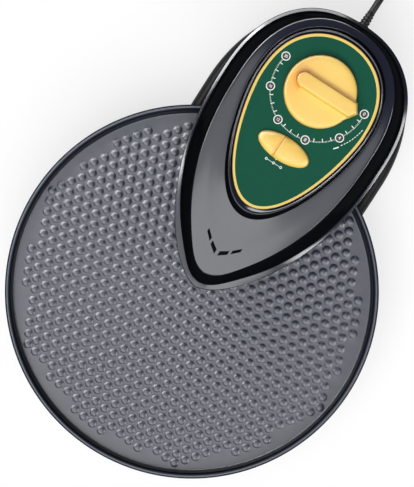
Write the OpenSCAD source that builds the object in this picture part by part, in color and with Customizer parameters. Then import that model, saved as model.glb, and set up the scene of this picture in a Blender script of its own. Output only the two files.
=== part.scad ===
// Countertop pizza oven with a rotating pan.
// A teardrop upper housing reaches forward over the back half of an open pan,
// a tower behind the pan carries it, and the base below holds the gearmotor,
// the lower heating element and the feet.
// +Z is up, the front is -Y, and every module is drawn with the pan's axis on Z.

/* [Overall] */
// Diameter of the pan over its rolled rim
pan_d = 360; // [350:1:366]
// Distance from the pan's axis back to the housing's rear edge
rear_reach = 300; // [294:1:308]
// Distance from the pan's axis back to the housing's tip
tip_reach = 6; // [2:1:12]
// Width of the upper housing
housing_w = 179; // [174:1:186]
// Width of the base shell
base_w = 200; // [194:1:210]
// Reach of the base shell in front of the pan's axis
base_front = 95; // [88:1:110]
// Height of the feet
foot_h = 6; // [4:0.5:9]
// Height of the base shell
base_h = 44; // [40:1:50]
// Height of the gap between the base shell and the upper housing
throat_h = 68; // [64:1:78]
// Height of the upper housing from its lip to the panel face
cover_h = 60; // [54:1:66]

/* [Shells] */
// Wall of the moulded shells
wall = 2.5; // [2:0.1:3]
// Thickness of the base's bottom cover
bottom_t = 2.5; // [2:0.1:3.5]
// Thickness of the reflectors' sheet
sheet_t = 0.8; // [0.6:0.1:1.2]
// Thickness of the chassis plate
chassis_t = 1.2; // [1:0.1:2]
// Width of the flange round each reflector
flange_w = 6; // [5:0.5:7]
// Space between the housing's side and the reflectors' trays
reflector_side = 32.5; // [30:0.5:36]
// Distance from the pan's axis back to the reflectors' widest place
heater_mid = 128; // [122:1:134]
// Depth of the reflectors
reflector_h = 18; // [15:0.5:22]
// Distance from the pan's axis back to the panel's tip
panel_front = 98; // [96:0.5:102]
// Distance from the pan's axis back to the panel's rear edge
panel_back = 274; // [272:0.5:277]
// Width of the panel
panel_w = 112.6; // [108:0.2:115]
// Width of the raised bead round the panel
bead_w = 4.8; // [4:0.1:6]
// Height of the raised bead round the panel
bead_h = 2; // [1:0.25:3]
// Drop of the housing's top from the panel towards the tip
tip_drop = 17; // [11:1:19]

/* [Pan and drive] */
// Thickness of the pan's sheet
pan_t = 1.2; // [0.8:0.1:1.6]
// Length of the straight part of the pan's wall
pan_wall = 9; // [7:0.5:12]
// Radius of the bend between the pan's floor and its wall
fillet_r = 3; // [2:0.25:4]
// Inner radius of the pan's rolled lip
lip_r = 1.2; // [1:0.1:2]
// Diameter of the motor shaft
shaft_d = 7; // [6:0.5:9]
// Diameter of the drive hub's disc
hub_d = 84; // [76:1:96]
// Thickness of the drive hub's disc
hub_t = 4; // [3:0.5:5]
// Number of lugs that drive the pan
lugs = 3; // [2:1:5]
// Width of each lug
lug_w = 12; // [8:1:14]
// Height of each lug
lug_h = 3; // [2:0.25:3.4]
// Height of the drive ring under the pan
ring_h = 3.8; // [3.6:0.2:5]
// Diameter of the gearmotor
motor_d = 56; // [48:1:60]
// Height of the gearmotor
motor_h = 22; // [18:1:24]

/* [Heating] */
// Diameter of the sheathed heating elements
element_d = 6.5; // [5.5:0.25:7.5]
// Diameter of the guard's wires
guard_d = 2.4; // [2:0.1:3]
// Space between a reflector's wall and its heating element
loop_side = 15; // [13:0.5:18]
// Number of the guard's cross wires
guard_wires = 5; // [3:1:7]

/* [Controls] */
// Distance from the pan's axis back to the timer knob's axis
knob_y = 221; // [218:1:224]
// Diameter of the timer knob
knob_d = 67.6; // [60:0.5:70]
// Height of the knob's disc
knob_h = 8; // [6:0.5:10]
// Height of the knob's grip bar above its disc
grip_h = 8; // [6:0.5:11]
// Width of the grip bar
grip_w = 14; // [11:0.5:16]
// Reach of the pointed end of the grip bar
nose_reach = 39.5; // [37:0.5:41]
// Diameter of the timer's shaft
timer_shaft_d = 6; // [5:0.5:7]
// Distance from the pan's axis back to the selector
selector_y = 159; // [156:1:161]
// Length of the selector cap
selector_l = 53; // [48:1:56]
// Width of the selector cap
selector_w = 23; // [20:0.5:25]
// Height of the selector cap
selector_h = 6; // [4:0.5:8]
// Travel of the selector to each side
selector_travel = 7.6; // [6:0.2:8.4]
// Thickness of the panel plate
panel_t = 3; // [2.5:0.25:4]
// Thickness of the printed face on the panel plate
label_t = 0.5; // [0.3:0.1:0.8]

/* [Cord] */
// Diameter of the power cord
cord_d = 7; // [6:0.25:7]
// Height of the cord's exit above the table
cord_z = 22; // [20:1:26]

/* [Hidden] */
$fn = 48;

// Clearances: between loose pieces, round a turning shaft, and round a pan
gap = 0.4;
running = 0.05;
pan_gap = 4;

// Levels, from the table up
z_base = foot_h;
z_top = z_base + base_h;
z_hub = z_top + 3;
z_pan = z_hub + hub_t + ring_h;
z_skirt = z_top + throat_h;
z_chassis = z_skirt + 1;
z_plate = z_chassis + chassis_t;
z_panel = z_skirt + cover_h;
z_floor = z_base + bottom_t;
z_knob = z_panel + 1;

pan_r = pan_d / 2;
tower_y = pan_r + pan_gap;
spindle_y = (pan_r - rear_reach) / 2;
lip_h = 4.6;
lip_w = 3.7;
seat_w = 3;
// How far the housing's walls lean in at its tip, sides and rear
tip_slope = 17.6;
side_slope = 15;
rear_slope = 11.5;
crease_drop = 5;
wall_h = cover_h - crease_drop;
rear_drop = 1.5;

// ---- Teardrop outlines -------------------------------------------------
// An outline is [tip, widest, rear, half width, front power, front root, rear power, rear root]:
// its half width is w * (1 - u^power)^root, with u from 0 at the widest place to 1 at the end.
skirt = [tip_reach, 196, rear_reach, housing_w / 2, 2.1, 0.66, 2.3, 0.44];
lip_edge = [tip_reach + 2 * lip_w, 196, rear_reach - lip_w, housing_w / 2 - lip_w,
    2.37, 0.787, 2.3, 0.44];
crease = [tip_reach + tip_slope, 196, rear_reach - rear_slope, housing_w / 2 - side_slope,
    1.98, 0.68, 2.3, 0.45];
panel = [panel_front, 209, panel_back, panel_w / 2, 1.5, 0.5, 2.5, 0.5];
bead = [panel_front - bead_w - 6, 207, panel_back + bead_w + 2, panel_w / 2 + bead_w,
    1.5, 0.5, 2.5, 0.5];
base = [-base_front, 185, rear_reach - 1, base_w / 2, 2.6, 0.5, 2, 0.38];
well = [tip_reach + 30, heater_mid, tower_y - 8, housing_w / 2 - reflector_side,
    2.2, 0.6, 2.6, 0.45];
loop = [well[0] + loop_side, heater_mid, well[2] - loop_side + 1, well[3] - loop_side,
    2.2, 0.6, 2.2, 0.5];
tower_foot = [tower_y, tower_y + 24, rear_reach - 12, 80, 3, 0.36, 2.2, 0.42];
tower_waist = [tower_y, tower_y + 24, rear_reach - 24, 72, 3, 0.36, 2.2, 0.42];
tower_head = [tower_y, tower_y + 24, rear_reach - 7, 81, 3, 0.36, 2.2, 0.42];

function mix(a, b, t) = a * (1 - t) + b * t;

// An outline drawn in by d, where a sharper tip moves back further
function inset(o, d) =
    [o[0] + 2 * o[5] * d, o[1], o[2] - d, o[3] - d, o[4], o[5], o[6], o[7]];

// The point of an outline at an angle, with -90 at the tip and 90 at the rear
function outline_at(o, a) =
    let (c = cos(a), s = sin(a), front = s < 0)
    [sign(c) * o[3] * pow(abs(c), 2 * (front ? o[5] : o[7])),
     front ? o[1] - (o[1] - o[0]) * pow(-s, 2 / o[4]) : o[1] + (o[2] - o[1]) * pow(s, 2 / o[6])];

function outline(o, n = 64) = [for (i = [0:n - 1]) outline_at(o, 360 * i / n)];

// Half width of an outline at a distance y behind the pan's axis
function half_width(o, y) =
    let (u = y < o[1] ? (o[1] - y) / (o[1] - o[0]) : (y - o[1]) / (o[2] - o[1]))
    o[3] * pow(max(0, 1 - pow(u, o[y < o[1] ? 4 : 6])), o[y < o[1] ? 5 : 7]);

// Fall of the housing's top surface below the panel's level
function fall(y) =
    tip_drop * pow(max(0, (crease[1] - y) / (crease[1] - crease[0])), 1.8)
    + rear_drop * pow(max(0, (y - crease[1]) / (crease[2] - crease[1])), 2);

// ---- Lofts ---------------------------------------------------------------
// A ring is [outline, height, share of the fall of the top surface]
function ring_points(ring, n) =
    [for (p = outline(ring[0], n)) [p[0], p[1], ring[1] - ring[2] * fall(p[1])]];

function band_faces(a, b, n) =
    [for (i = [0:n - 1]) let (j = (i + 1) % n) each [[a + i, b + i, b + j], [a + i, b + j, a + j]]];

// Shell through a closed chain of rings, the last one joined to the first
module ring_loft(rings, n = 64) {
    count = len(rings);
    points = [for (ring = rings) each ring_points(ring, n)];
    faces = [for (k = [0:count - 1]) each band_faces(k * n, ((k + 1) % count) * n, n)];
    polyhedron(points, faces, convexity = 8);
}

// Solid through a chain of rings, with its first and last ring capped
module capped_loft(rings, n = 64) {
    count = len(rings);
    first = rings[0];
    last = rings[count - 1];
    low = count * n;
    points = concat(
        [for (ring = rings) each ring_points(ring, n)],
        [[0, first[0][1], first[1] - first[2] * fall(first[0][1])],
         [0, last[0][1], last[1] - last[2] * fall(last[0][1])]]);
    faces = concat(
        [for (k = [0:count - 2]) each band_faces(k * n, (k + 1) * n, n)],
        [for (i = [0:n - 1]) [low, i, (i + 1) % n]],
        [for (i = [0:n - 1]) [low + 1, low - n + (i + 1) % n, low - n + i]]);
    polyhedron(points, faces, convexity = 8);
}

module slab(o, z, t, n = 64) {
    translate([0, 0, z]) linear_extrude(t) polygon(outline(o, n));
}

// ---- Tubes ---------------------------------------------------------------
function unit(v) = v / norm(v);

// Direction of a path at point k, along its neighbours
function heading(path, k) =
    unit(path[min(k + 1, len(path) - 1)] - path[max(k - 1, 0)]);

// Tube of radius r swept along a path that nowhere stands upright,
// or along one that does when side is a level direction square to it
module tube(path, r, sides = 8, side = undef) {
    count = len(path);
    points = [for (k = [0:count - 1]) let (
            t = heading(path, k),
            across = side == undef ? unit(cross(t, [0, 0, 1])) : side,
            up = cross(across, t))
        for (i = [0:sides - 1]) let (a = 360 * (i + 0.5) / sides)
            path[k] + r * (cos(a) * across + sin(a) * up)];
    faces = concat(
        [for (k = [0:count - 2]) for (i = [0:sides - 1]) let (
                j = (i + 1) % sides, a = k * sides, b = a + sides)
            each [[a + i, a + j, b + j], [a + i, b + j, b + i]]],
        [[for (i = [0:sides - 1]) sides - 1 - i]],
        [[for (i = [0:sides - 1]) (count - 1) * sides + i]]);
    polyhedron(points, faces, convexity = 8);
}

// ---- Fasteners -----------------------------------------------------------
screw_r = 1.5;
head_r = 3;
head_h = 1.6;

// Screw that points up, with its head's top face at z = 0
module screw(l) {
    difference() {
        union() {
            translate([0, 0, -head_h]) cylinder(r = head_r, h = head_h);
            cylinder(r = screw_r, h = l);
        }
        for (turn = [0, 90])
            rotate(turn) translate([-head_r, -0.4, -head_h - 1]) cube([2 * head_r, 0.8, 1.8]);
    }
}

// Places, worked out from the outlines that carry them
boss_r = 4.5;
boss_rear = rear_reach - 38;
foot_rear = rear_reach - 64;
base_bosses = [for (s = [-1, 1]) each [[56 * s, -12], [80 * s, 110], [56 * s, boss_rear]]];
feet = [for (s = [-1, 1]) each [[42 * s, -50], [62 * s, foot_rear]]];
foot_r = 8;
foot_stem_r = 3;
cover_boss_r = 3.6;
cover_boss_inset = wall + cover_boss_r - 2;
cover_bosses = [for (a = [200, 254, 286, 340])
    outline_at(inset(mix(lip_edge, crease, 0.2), cover_boss_inset), a)];
tower_bosses = [for (s = [-1, 1]) each [[56 * s, tower_y + 18], [34 * s, rear_reach - 50]]];
tower_boss_r = 5;
tower_screw_l = 10;
block_d = 16;
block_w = 44;
block_y = rear_reach - 44;
wire_hole_r = 10;
wire_hole = [0, block_y - block_d / 2 - wire_hole_r - 9];
motor_posts = [[-36, 0], [36, 0]];

// ---- Base ----------------------------------------------------------------
neck_r = shaft_d / 2 + 4.5;
bracket_t = 1.5;
bracket_gap = 3.5;
z_bracket = z_top - wall - bracket_gap - bracket_t;
relief_r = cord_d / 2 + 1.9;

module base_shell() color([0.06, 0.06, 0.07]) difference() {
    union() {
        ring_loft([
            [inset(base, 3), z_base, 0],
            [inset(base, 0.8), z_base + 3, 0],
            [base, z_base + 9, 0],
            [base, z_top - 12, 0],
            [inset(base, 1.2), z_top - 6, 0],
            [inset(base, 3.6), z_top - 1.8, 0],
            [inset(base, 7), z_top, 0],
            [inset(well, -gap), z_top, 0],
            [inset(well, -gap), z_top - wall, 0],
            [inset(base, 8), z_top - wall, 0],
            [inset(base, wall + 2.2), z_top - 7, 0],
            [inset(base, wall), z_top - 13, 0],
            [inset(base, wall), z_base + 9, 0],
            [inset(base, wall + 3), z_base, 0]]);
        for (p = base_bosses)
            translate([p[0], p[1], z_floor]) cylinder(r = boss_r, h = z_top - wall / 2 - z_floor);
        for (p = motor_posts)
            translate([p[0], p[1], z_bracket + bracket_t])
                cylinder(r = boss_r, h = bracket_gap + wall / 2);
    }
    for (p = base_bosses)
        translate([p[0], p[1], z_floor - 1]) cylinder(r = screw_r, h = 15);
    for (p = motor_posts)
        translate([p[0], p[1], z_bracket + bracket_t - 1]) cylinder(r = screw_r, h = 5);
    for (p = tower_bosses)
        translate([p[0], p[1], z_top - wall - 1]) cylinder(r = screw_r + gap, h = wall + 2);
    translate([0, 0, z_top - wall - 1]) cylinder(r = neck_r + 1.5, h = wall + 2);
    translate([wire_hole[0], wire_hole[1], z_top - wall - 1])
        cylinder(r = wire_hole_r, h = wall + 2);
    translate([0, base[2] - 12, cord_z]) rotate([-90, 0, 0]) cylinder(r = relief_r + 0.1, h = 14);
}

module bottom_cover() color([0.05, 0.05, 0.05]) difference() {
    slab(inset(base, wall + 3 + gap), z_base, bottom_t);
    for (p = base_bosses) {
        translate([p[0], p[1], z_base - 1]) cylinder(r = screw_r + gap, h = bottom_t + 2);
        translate([p[0], p[1], z_base - 1]) cylinder(r = head_r + gap, h = head_h + 1);
    }
    for (p = feet)
        translate([p[0], p[1], z_base - 1]) cylinder(r = foot_stem_r + running, h = bottom_t + 2);
    for (k = [-4:4])
        translate([k * 10 - 1.5, 60, z_base - 1]) cube([3, 60, bottom_t + 2]);
}

module rubber_feet() color([0.12, 0.12, 0.12]) for (p = feet)
    translate([p[0], p[1], 0]) rotate_extrude() polygon([
        [0, 0], [foot_r - 1.5, 0], [foot_r - 0.6, 0.5], [foot_r, foot_h],
        [foot_stem_r, foot_h], [foot_stem_r, foot_h + bottom_t],
        [foot_stem_r + 1, foot_h + bottom_t], [foot_stem_r - 1, foot_h + bottom_t + 3],
        [0, foot_h + bottom_t + 3]]);

module bottom_screws() color("silver") for (p = base_bosses)
    translate([p[0], p[1], z_base + head_h]) screw(12);

// Shallow tray with a flange; its open side is up
module lower_reflector() color([0.75, 0.75, 0.76]) difference() {
    capped_loft([
        [inset(well, 7), z_top - reflector_h, 0],
        [inset(well, 3), z_top - reflector_h + 3, 0],
        [well, z_top, 0],
        [inset(well, -flange_w), z_top, 0],
        [inset(well, -flange_w), z_top + sheet_t, 0],
        [inset(well, sheet_t), z_top + sheet_t, 0],
        [inset(well, 3 + sheet_t), z_top - reflector_h + 3 + sheet_t, 0],
        [inset(well, 7), z_top - reflector_h + sheet_t, 0]], 48);
    element_holes(z_top - element_drop);
}

element_drop = 9;
leg_x = 16;

// A heating element: two legs from the rear, then a loop along the reflector's outline
function element_path(z) = concat(
    [[leg_x, tower_y + 6, z], [leg_x, tower_y - 6, z]],
    [for (a = [66:-12:-246]) let (p = outline_at(loop, a)) [p[0], p[1], z]],
    [[-leg_x, tower_y - 6, z], [-leg_x, tower_y + 6, z]]);

module element_holes(z) for (x = [-leg_x, leg_x])
    translate([x, well[2] - 30, z]) rotate([-90, 0, 0]) cylinder(r = element_d / 2 + 1, h = 30);

module element_posts(z_from, z_to) for (a = [-90, -20, 200]) let (p = outline_at(loop, a))
    translate([p[0], p[1], z_from]) cylinder(r = element_d / 2 + 1, h = z_to - z_from);

module lower_element() color([0.3, 0.3, 0.31])
    tube(element_path(z_top - element_drop), element_d / 2);

module lower_element_posts() color([0.9, 0.88, 0.83]) element_posts(
    z_top - reflector_h + sheet_t, z_top - element_drop - element_d / 2);

module gearmotor() color([0.6, 0.6, 0.62]) difference() {
    union() {
        translate([0, 0, z_bracket - motor_h]) rotate_extrude() polygon([
            [0, 0], [motor_d / 2 - 1.5, 0], [motor_d / 2, 1.5], [motor_d / 2, motor_h],
            [0, motor_h]]);
        translate([0, 0, z_bracket - 1]) cylinder(r = shaft_d / 2 + 1.8, h = bracket_t + 2);
        translate([motor_d / 2 - 3, -9, z_bracket - motor_h + 4]) cube([9, 18, 8]);
    }
    translate([0, 0, z_bracket - 9]) cylinder(r = shaft_d / 2 + running, h = 20);
}

module motor_bracket() color([0.7, 0.7, 0.72]) difference() {
    translate([0, 0, z_bracket]) linear_extrude(bracket_t) difference() {
        union() {
            translate([-38, -12]) square([76, 24]);
            for (p = motor_posts) translate(p) circle(r = 8);
        }
        circle(r = shaft_d / 2 + 1.8 + gap);
    }
    for (p = motor_posts)
        translate([p[0], p[1], z_bracket - 1]) cylinder(r = screw_r + 0.2, h = bracket_t + 2);
}

module motor_screws() color("silver") for (p = motor_posts)
    translate([p[0], p[1], z_bracket]) screw(5);

// ---- Turntable and pan ---------------------------------------------------
module motor_shaft() color("silver")
    translate([0, 0, z_bracket - 8]) cylinder(r = shaft_d / 2, h = z_hub + hub_t - z_bracket + 7);

module drive_hub() color([0.16, 0.16, 0.17]) union() {
    difference() {
        rotate_extrude() polygon([
            [0, z_top - wall - 1], [neck_r, z_top - wall - 1], [neck_r, z_hub],
            [hub_d / 2 - 1, z_hub], [hub_d / 2, z_hub + 1], [hub_d / 2, z_hub + hub_t],
            [0, z_hub + hub_t]]);
        translate([0, 0, z_top - wall - 2])
            cylinder(r = shaft_d / 2, h = z_hub + hub_t - 1 - z_top + wall + 2);
    }
    for (k = [0:lugs - 1]) rotate(90 + 360 * k / lugs)
        translate([hub_d / 2 - 15, -lug_w / 2, z_hub + hub_t - 0.5])
            cube([13, lug_w, lug_h + 0.5]);
}

module pan_drive_ring() color([0.2, 0.2, 0.21]) difference() {
    translate([0, 0, z_hub + hub_t]) linear_extrude(ring_h) difference() {
        circle(r = hub_d / 2);
        circle(r = hub_d / 2 - 17);
    }
    for (k = [0:lugs - 1]) rotate(90 + 360 * k / lugs)
        translate([hub_d / 2 - 16, -lug_w / 2 - 1, z_hub + hub_t - 1])
            cube([15, lug_w + 2, lug_h + 1 + gap]);
}

wall_lean = 14;
function arc(c, r, from, to, steps) =
    [for (k = [0:steps]) let (a = from + (to - from) * k / steps) c + r * [cos(a), sin(a)]];

// The pan's section: floor, fillet, leaning wall and rolled lip, all of one sheet
lip_turn = [cos(wall_lean), -sin(wall_lean)];
lip_run = fillet_r * lip_turn + pan_wall * [sin(wall_lean), cos(wall_lean)] + lip_r * lip_turn;
floor_r = pan_r - lip_run[0] - lip_r - pan_t;
fillet_c = [floor_r, fillet_r];
lip_c = fillet_c + lip_run;
pan_floor = z_pan + pan_t;

module pan_section() polygon(concat(
    [[0, 0]],
    arc(fillet_c, fillet_r, -90, -wall_lean, 5),
    arc(lip_c, lip_r, 180 - wall_lean, -35, 9),
    arc(lip_c, lip_r + pan_t, -35, 180 - wall_lean, 9),
    arc(fillet_c, fillet_r - pan_t, -wall_lean, -90, 5),
    [[0, pan_t]]));

module pan() color([0.17, 0.18, 0.2])
    translate([0, 0, z_pan]) rotate_extrude($fn = 96) pan_section();

// ---- Tower ---------------------------------------------------------------
module tower_shell() color([0.06, 0.06, 0.07]) difference() {
    union() {
        capped_loft([
            [tower_foot, z_top, 0],
            [tower_foot, z_top + 3, 0],
            [mix(tower_foot, tower_waist, 0.7), z_top + 9, 0],
            [tower_waist, z_top + throat_h * 0.35, 0],
            [tower_waist, z_top + throat_h * 0.6, 0],
            [mix(tower_waist, tower_head, 0.6), z_top + throat_h * 0.86, 0],
            [tower_head, z_skirt - 2, 0],
            [tower_head, z_chassis, 0],
            [inset(tower_head, wall), z_chassis, 0],
            [inset(mix(tower_waist, tower_head, 0.6), wall), z_top + throat_h * 0.86, 0],
            [inset(tower_waist, wall), z_top + throat_h * 0.6, 0],
            [inset(tower_waist, wall), z_top + throat_h * 0.35, 0],
            [inset(mix(tower_foot, tower_waist, 0.7), wall), z_top + 9, 0],
            [inset(tower_foot, wall + 1), z_top + wall, 0]], 48);
        for (p = tower_bosses)
            translate([p[0], p[1], z_top + 1]) cylinder(r = tower_boss_r, h = throat_h);
    }
    for (p = tower_bosses) {
        translate([p[0], p[1], z_top - 1]) cylinder(r = screw_r, h = tower_screw_l + 2);
        translate([p[0], p[1], z_chassis - tower_screw_l - 2])
            cylinder(r = screw_r, h = tower_screw_l + 3);
    }
    translate([wire_hole[0], wire_hole[1], z_top - 1]) cylinder(r = wire_hole_r, h = wall + 2);
}

module tower_screws() color("silver") for (p = tower_bosses) {
    translate([p[0], p[1], z_top - wall]) screw(wall + tower_screw_l);
    translate([p[0], p[1], z_plate]) mirror([0, 0, 1]) screw(chassis_t + tower_screw_l);
}

module terminal_block() color([0.85, 0.83, 0.78]) difference() {
    translate([-block_w / 2, block_y - block_d / 2, z_top + wall]) cube([block_w, block_d, 14]);
    for (k = [-1.5:1:1.5])
        translate([k * 10, block_y, z_top + wall + 5]) cylinder(r = 2.5, h = 10);
}

wire_r = 1.4;
z_block = z_top + wall + 14;

// Leads from the cord up through the tower to the terminal block, and on to the chassis
module internal_wires() color([0.8, 0.8, 0.78]) {
    for (s = [-1, 1]) {
        tube([[s * 4, base[2] - 16, cord_z], [s * 4, wire_hole[1] + 24, cord_z],
              [s * 5, wire_hole[1] + 10, cord_z + 4], [s * 6, wire_hole[1] + 3, cord_z + 14],
              [s * 6, wire_hole[1], z_top + 2], [s * 6, wire_hole[1] + 2, z_top + 12],
              [s * 5, wire_hole[1] + 7, z_top + 24], [s * 5, block_y - 2, z_block + 6],
              [s * 5, block_y, z_block]],
             wire_r, 6, [1, 0, 0]);
        tube([[s * 15, block_y, z_block], [s * 15, block_y - 2, z_block + 6],
              [s * 16, wire_hole[1] + 7, z_top + 34],
              [s * 14, wire_hole[1] + 3, z_top + throat_h * 0.8],
              [s * 12, wire_hole[1] + 2, z_plate + 8]],
             wire_r, 6, [1, 0, 0]);
    }
}

// ---- Upper housing -------------------------------------------------------
z_crease = z_skirt + wall_h;
seat = inset(panel, -gap);
seat_in = inset(panel, seat_w);

// Vent slots: a chevron that points at the tip, each arm of two slots parted by a rib
vent_tip = 43.5;
vent_reach = 17.2;
vent_rise = 15.2;
vent_rib = 1.6;
function vent_at(t) = [vent_reach * t, vent_tip + vent_rise * pow(t, 0.85)];
function vent_slot(from, to) =
    let (a = vent_at(from), b = vent_at(to), w = mix(4.6, 3, from), v = mix(4.6, 2, to))
    [a, b, b + [0, v], a + [0, w]];

module vent_slots() for (side = [0, 1]) mirror([side, 0, 0])
    for (span = [[0.06, 0.5], [0.6, 1]])
        translate([0, 0, z_skirt + wall_h * 0.5]) linear_extrude(cover_h)
            polygon(vent_slot(span[0], span[1]));

module upper_cover() color([0.07, 0.07, 0.08]) difference() {
    union() {
        ring_loft([
            [skirt, z_skirt, 0],
            [skirt, z_skirt + lip_h - 0.9, 0],
            [mix(skirt, lip_edge, 0.2), z_skirt + lip_h - 0.2, 0],
            [lip_edge, z_skirt + lip_h + 0.6, 0],
            [mix(lip_edge, crease, 0.18), z_skirt + wall_h * 0.3, 0.25],
            [mix(lip_edge, crease, 0.48), z_skirt + wall_h * 0.64, 0.6],
            [mix(lip_edge, crease, 0.84), z_skirt + wall_h * 0.93, 0.9],
            [crease, z_crease, 1],
            [mix(crease, bead, 0.12), z_crease + 0.3, 1],
            [mix(crease, bead, 0.5), z_crease + 1, 0.95],
            [bead, z_crease + 2, 0.85],
            [mix(bead, panel, 0.25), z_panel + bead_h * 0.5, 0.1],
            [mix(bead, panel, 0.5), z_panel + bead_h, 0],
            [mix(bead, panel, 0.75), z_panel + bead_h * 0.8, 0],
            [seat, z_panel, 0],
            [seat, z_panel - panel_t, 0],
            [seat_in, z_panel - panel_t, 0],
            [seat_in, z_panel - panel_t - wall, 0],
            [mix(crease, bead, 0.8), z_crease + 1.6 - wall, 1],
            [mix(crease, bead, 0.2), z_crease + 0.4 - wall, 1],
            [inset(mix(lip_edge, crease, 0.84), wall), z_skirt + wall_h * 0.9 - 1, 0.9],
            [inset(mix(lip_edge, crease, 0.48), wall), z_skirt + wall_h * 0.62, 0.6],
            [inset(mix(lip_edge, crease, 0.18), wall), z_skirt + wall_h * 0.28, 0.25],
            [inset(lip_edge, wall), z_skirt + lip_h + 0.6 - wall, 0],
            [inset(skirt, wall), z_skirt + lip_h + 0.3 - wall, 0],
            [inset(skirt, wall), z_skirt, 0]]);
        for (p = cover_bosses)
            translate([p[0], p[1], z_plate]) cylinder(r = cover_boss_r, h = 11);
    }
    for (p = cover_bosses)
        translate([p[0], p[1], z_plate - 1]) cylinder(r = screw_r, h = 10);
    vent_slots();
}

module chassis_plate() color([0.72, 0.72, 0.74]) difference() {
    slab(inset(skirt, wall + gap), z_chassis, chassis_t);
    slab(inset(well, -gap), z_chassis - 1, chassis_t + 2, 48);
    for (p = cover_bosses)
        translate([p[0], p[1], z_chassis - 1]) cylinder(r = screw_r + gap, h = chassis_t + 2);
    for (p = tower_bosses)
        translate([p[0], p[1], z_chassis - 1]) cylinder(r = screw_r + gap, h = chassis_t + 2);
    translate([wire_hole[0], wire_hole[1], z_chassis - 1])
        cylinder(r = wire_hole_r + 6, h = chassis_t + 2);
}

module cover_screws() color("silver") for (p = cover_bosses)
    translate([p[0], p[1], z_chassis]) screw(chassis_t + 8);

// Shallow tray with a flange; its open side is down
module upper_reflector() color([0.75, 0.75, 0.76]) difference() {
    capped_loft([
        [inset(well, 7), z_chassis + reflector_h - sheet_t, 0],
        [inset(well, 3 + sheet_t), z_chassis + reflector_h - 3 - sheet_t, 0],
        [inset(well, sheet_t), z_chassis - sheet_t, 0],
        [inset(well, -flange_w), z_chassis - sheet_t, 0],
        [inset(well, -flange_w), z_chassis, 0],
        [well, z_chassis, 0],
        [inset(well, 3), z_chassis + reflector_h - 3, 0],
        [inset(well, 7), z_chassis + reflector_h, 0]], 48);
    element_holes(z_chassis + element_drop);
}

module upper_element() color([0.3, 0.3, 0.31])
    tube(element_path(z_chassis + element_drop), element_d / 2);

module upper_element_posts() color([0.9, 0.88, 0.83]) element_posts(
    z_chassis + element_drop + element_d / 2, z_chassis + reflector_h - sheet_t);

guard_z = z_chassis - sheet_t - 4;
guard_first = 58;
guard_last = tower_y - 26;

// One bent wire: a straight run across the reflector with both ends turned up to the flange
module guard_wire(x, y) {
    translate([-x, y, guard_z]) rotate([0, 90, 0]) cylinder(r = guard_d / 2, h = 2 * x, $fn = 16);
    for (s = [-x, x]) {
        translate([s, y, guard_z]) sphere(r = guard_d / 2, $fn = 16);
        translate([s, y, guard_z])
            cylinder(r = guard_d / 2, h = z_chassis - sheet_t - guard_z, $fn = 16);
    }
}

module heat_guard() color("silver") union() {
    for (k = [0:guard_wires - 1])
        let (y = guard_first + (guard_last - guard_first) * k / (guard_wires - 1))
            guard_wire(half_width(well, y) + flange_w / 2, y);
    for (x = [-14, 14]) translate([x, guard_first - guard_d, guard_z + guard_d * 0.6])
        rotate([-90, 0, 0])
            cylinder(r = guard_d / 2, h = guard_last - guard_first + 2 * guard_d, $fn = 16);
}

module limit_thermostat() color([0.55, 0.5, 0.42])
    translate([0, heater_mid - 24, z_chassis + reflector_h]) {
        cylinder(r = 8, h = 6);
        translate([-1.5, -11, 0]) cube([3, 22, 2]);
    }

module thermal_fuse() color([0.8, 0.8, 0.82])
    translate([18, heater_mid, z_chassis + reflector_h + 2]) {
        rotate([-90, 0, 0]) cylinder(r = 2, h = 12);
        translate([-3.5, 4, -2]) cube([7, 4, 2]);
    }

// ---- Controls ------------------------------------------------------------
z_plate_top = z_panel - label_t;
bushing_r = timer_shaft_d / 2 + 1.6;
stem_l = 7;
stem_w = 4;
slot_l = 2 * selector_travel + stem_l + 2 * gap;
slot_w = stem_w + 2 * gap;

module panel_holes() {
    translate([0, knob_y]) circle(r = bushing_r + gap);
    translate([-slot_l / 2, selector_y - slot_w / 2]) square([slot_l, slot_w]);
}

module panel_plate() color([0.08, 0.08, 0.09])
    translate([0, 0, z_panel - panel_t]) linear_extrude(panel_t - label_t) difference() {
        polygon(outline(panel));
        panel_holes();
    }

module panel_face() color([0.1, 0.34, 0.25])
    translate([0, 0, z_plate_top]) linear_extrude(label_t) difference() {
        polygon(outline(panel));
        panel_holes();
    }

timer_l = 50;
timer_h = 24;
z_timer = z_panel - panel_t;
bushing_h = panel_t + 0.6;

module timer() color([0.78, 0.76, 0.7]) difference() {
    union() {
        translate([-timer_l / 2, knob_y - timer_l / 2, z_timer - timer_h])
            cube([timer_l, timer_l, timer_h]);
        translate([0, knob_y, z_timer - 1]) cylinder(r = bushing_r, h = bushing_h + 1);
    }
    translate([0, knob_y, z_timer - 12])
        cylinder(r = timer_shaft_d / 2 + running, h = bushing_h + 14);
}

module timer_bell() color([0.75, 0.72, 0.62])
    translate([0, knob_y, z_timer - timer_h]) mirror([0, 0, 1]) difference() {
        rotate_extrude() polygon([[0, 0], [3, 0], [3, 3], [17, 3], [20, 10], [19, 10], [16.2, 4], [0, 4]]);
        translate([0, 0, -1]) cylinder(r = 1, h = 6);
    }

module timer_shaft() color("silver")
    translate([0, knob_y, z_timer - 11])
        cylinder(r = timer_shaft_d / 2, h = 11 + panel_t + 1 + knob_h);

knob_r = knob_d / 2;
grip_back = 18.7;
nose_half = 19;

// Plan of the grip bar: round at one end and pointed at the other
module grip_plan() {
    translate([-grip_back, -grip_w / 2]) square([grip_back + knob_r - 2, grip_w]);
    translate([-grip_back, 0]) circle(r = grip_w / 2);
    polygon([[knob_r - 2, -grip_w / 2], [nose_reach, 0], [knob_r - 2, grip_w / 2]]);
}

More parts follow.
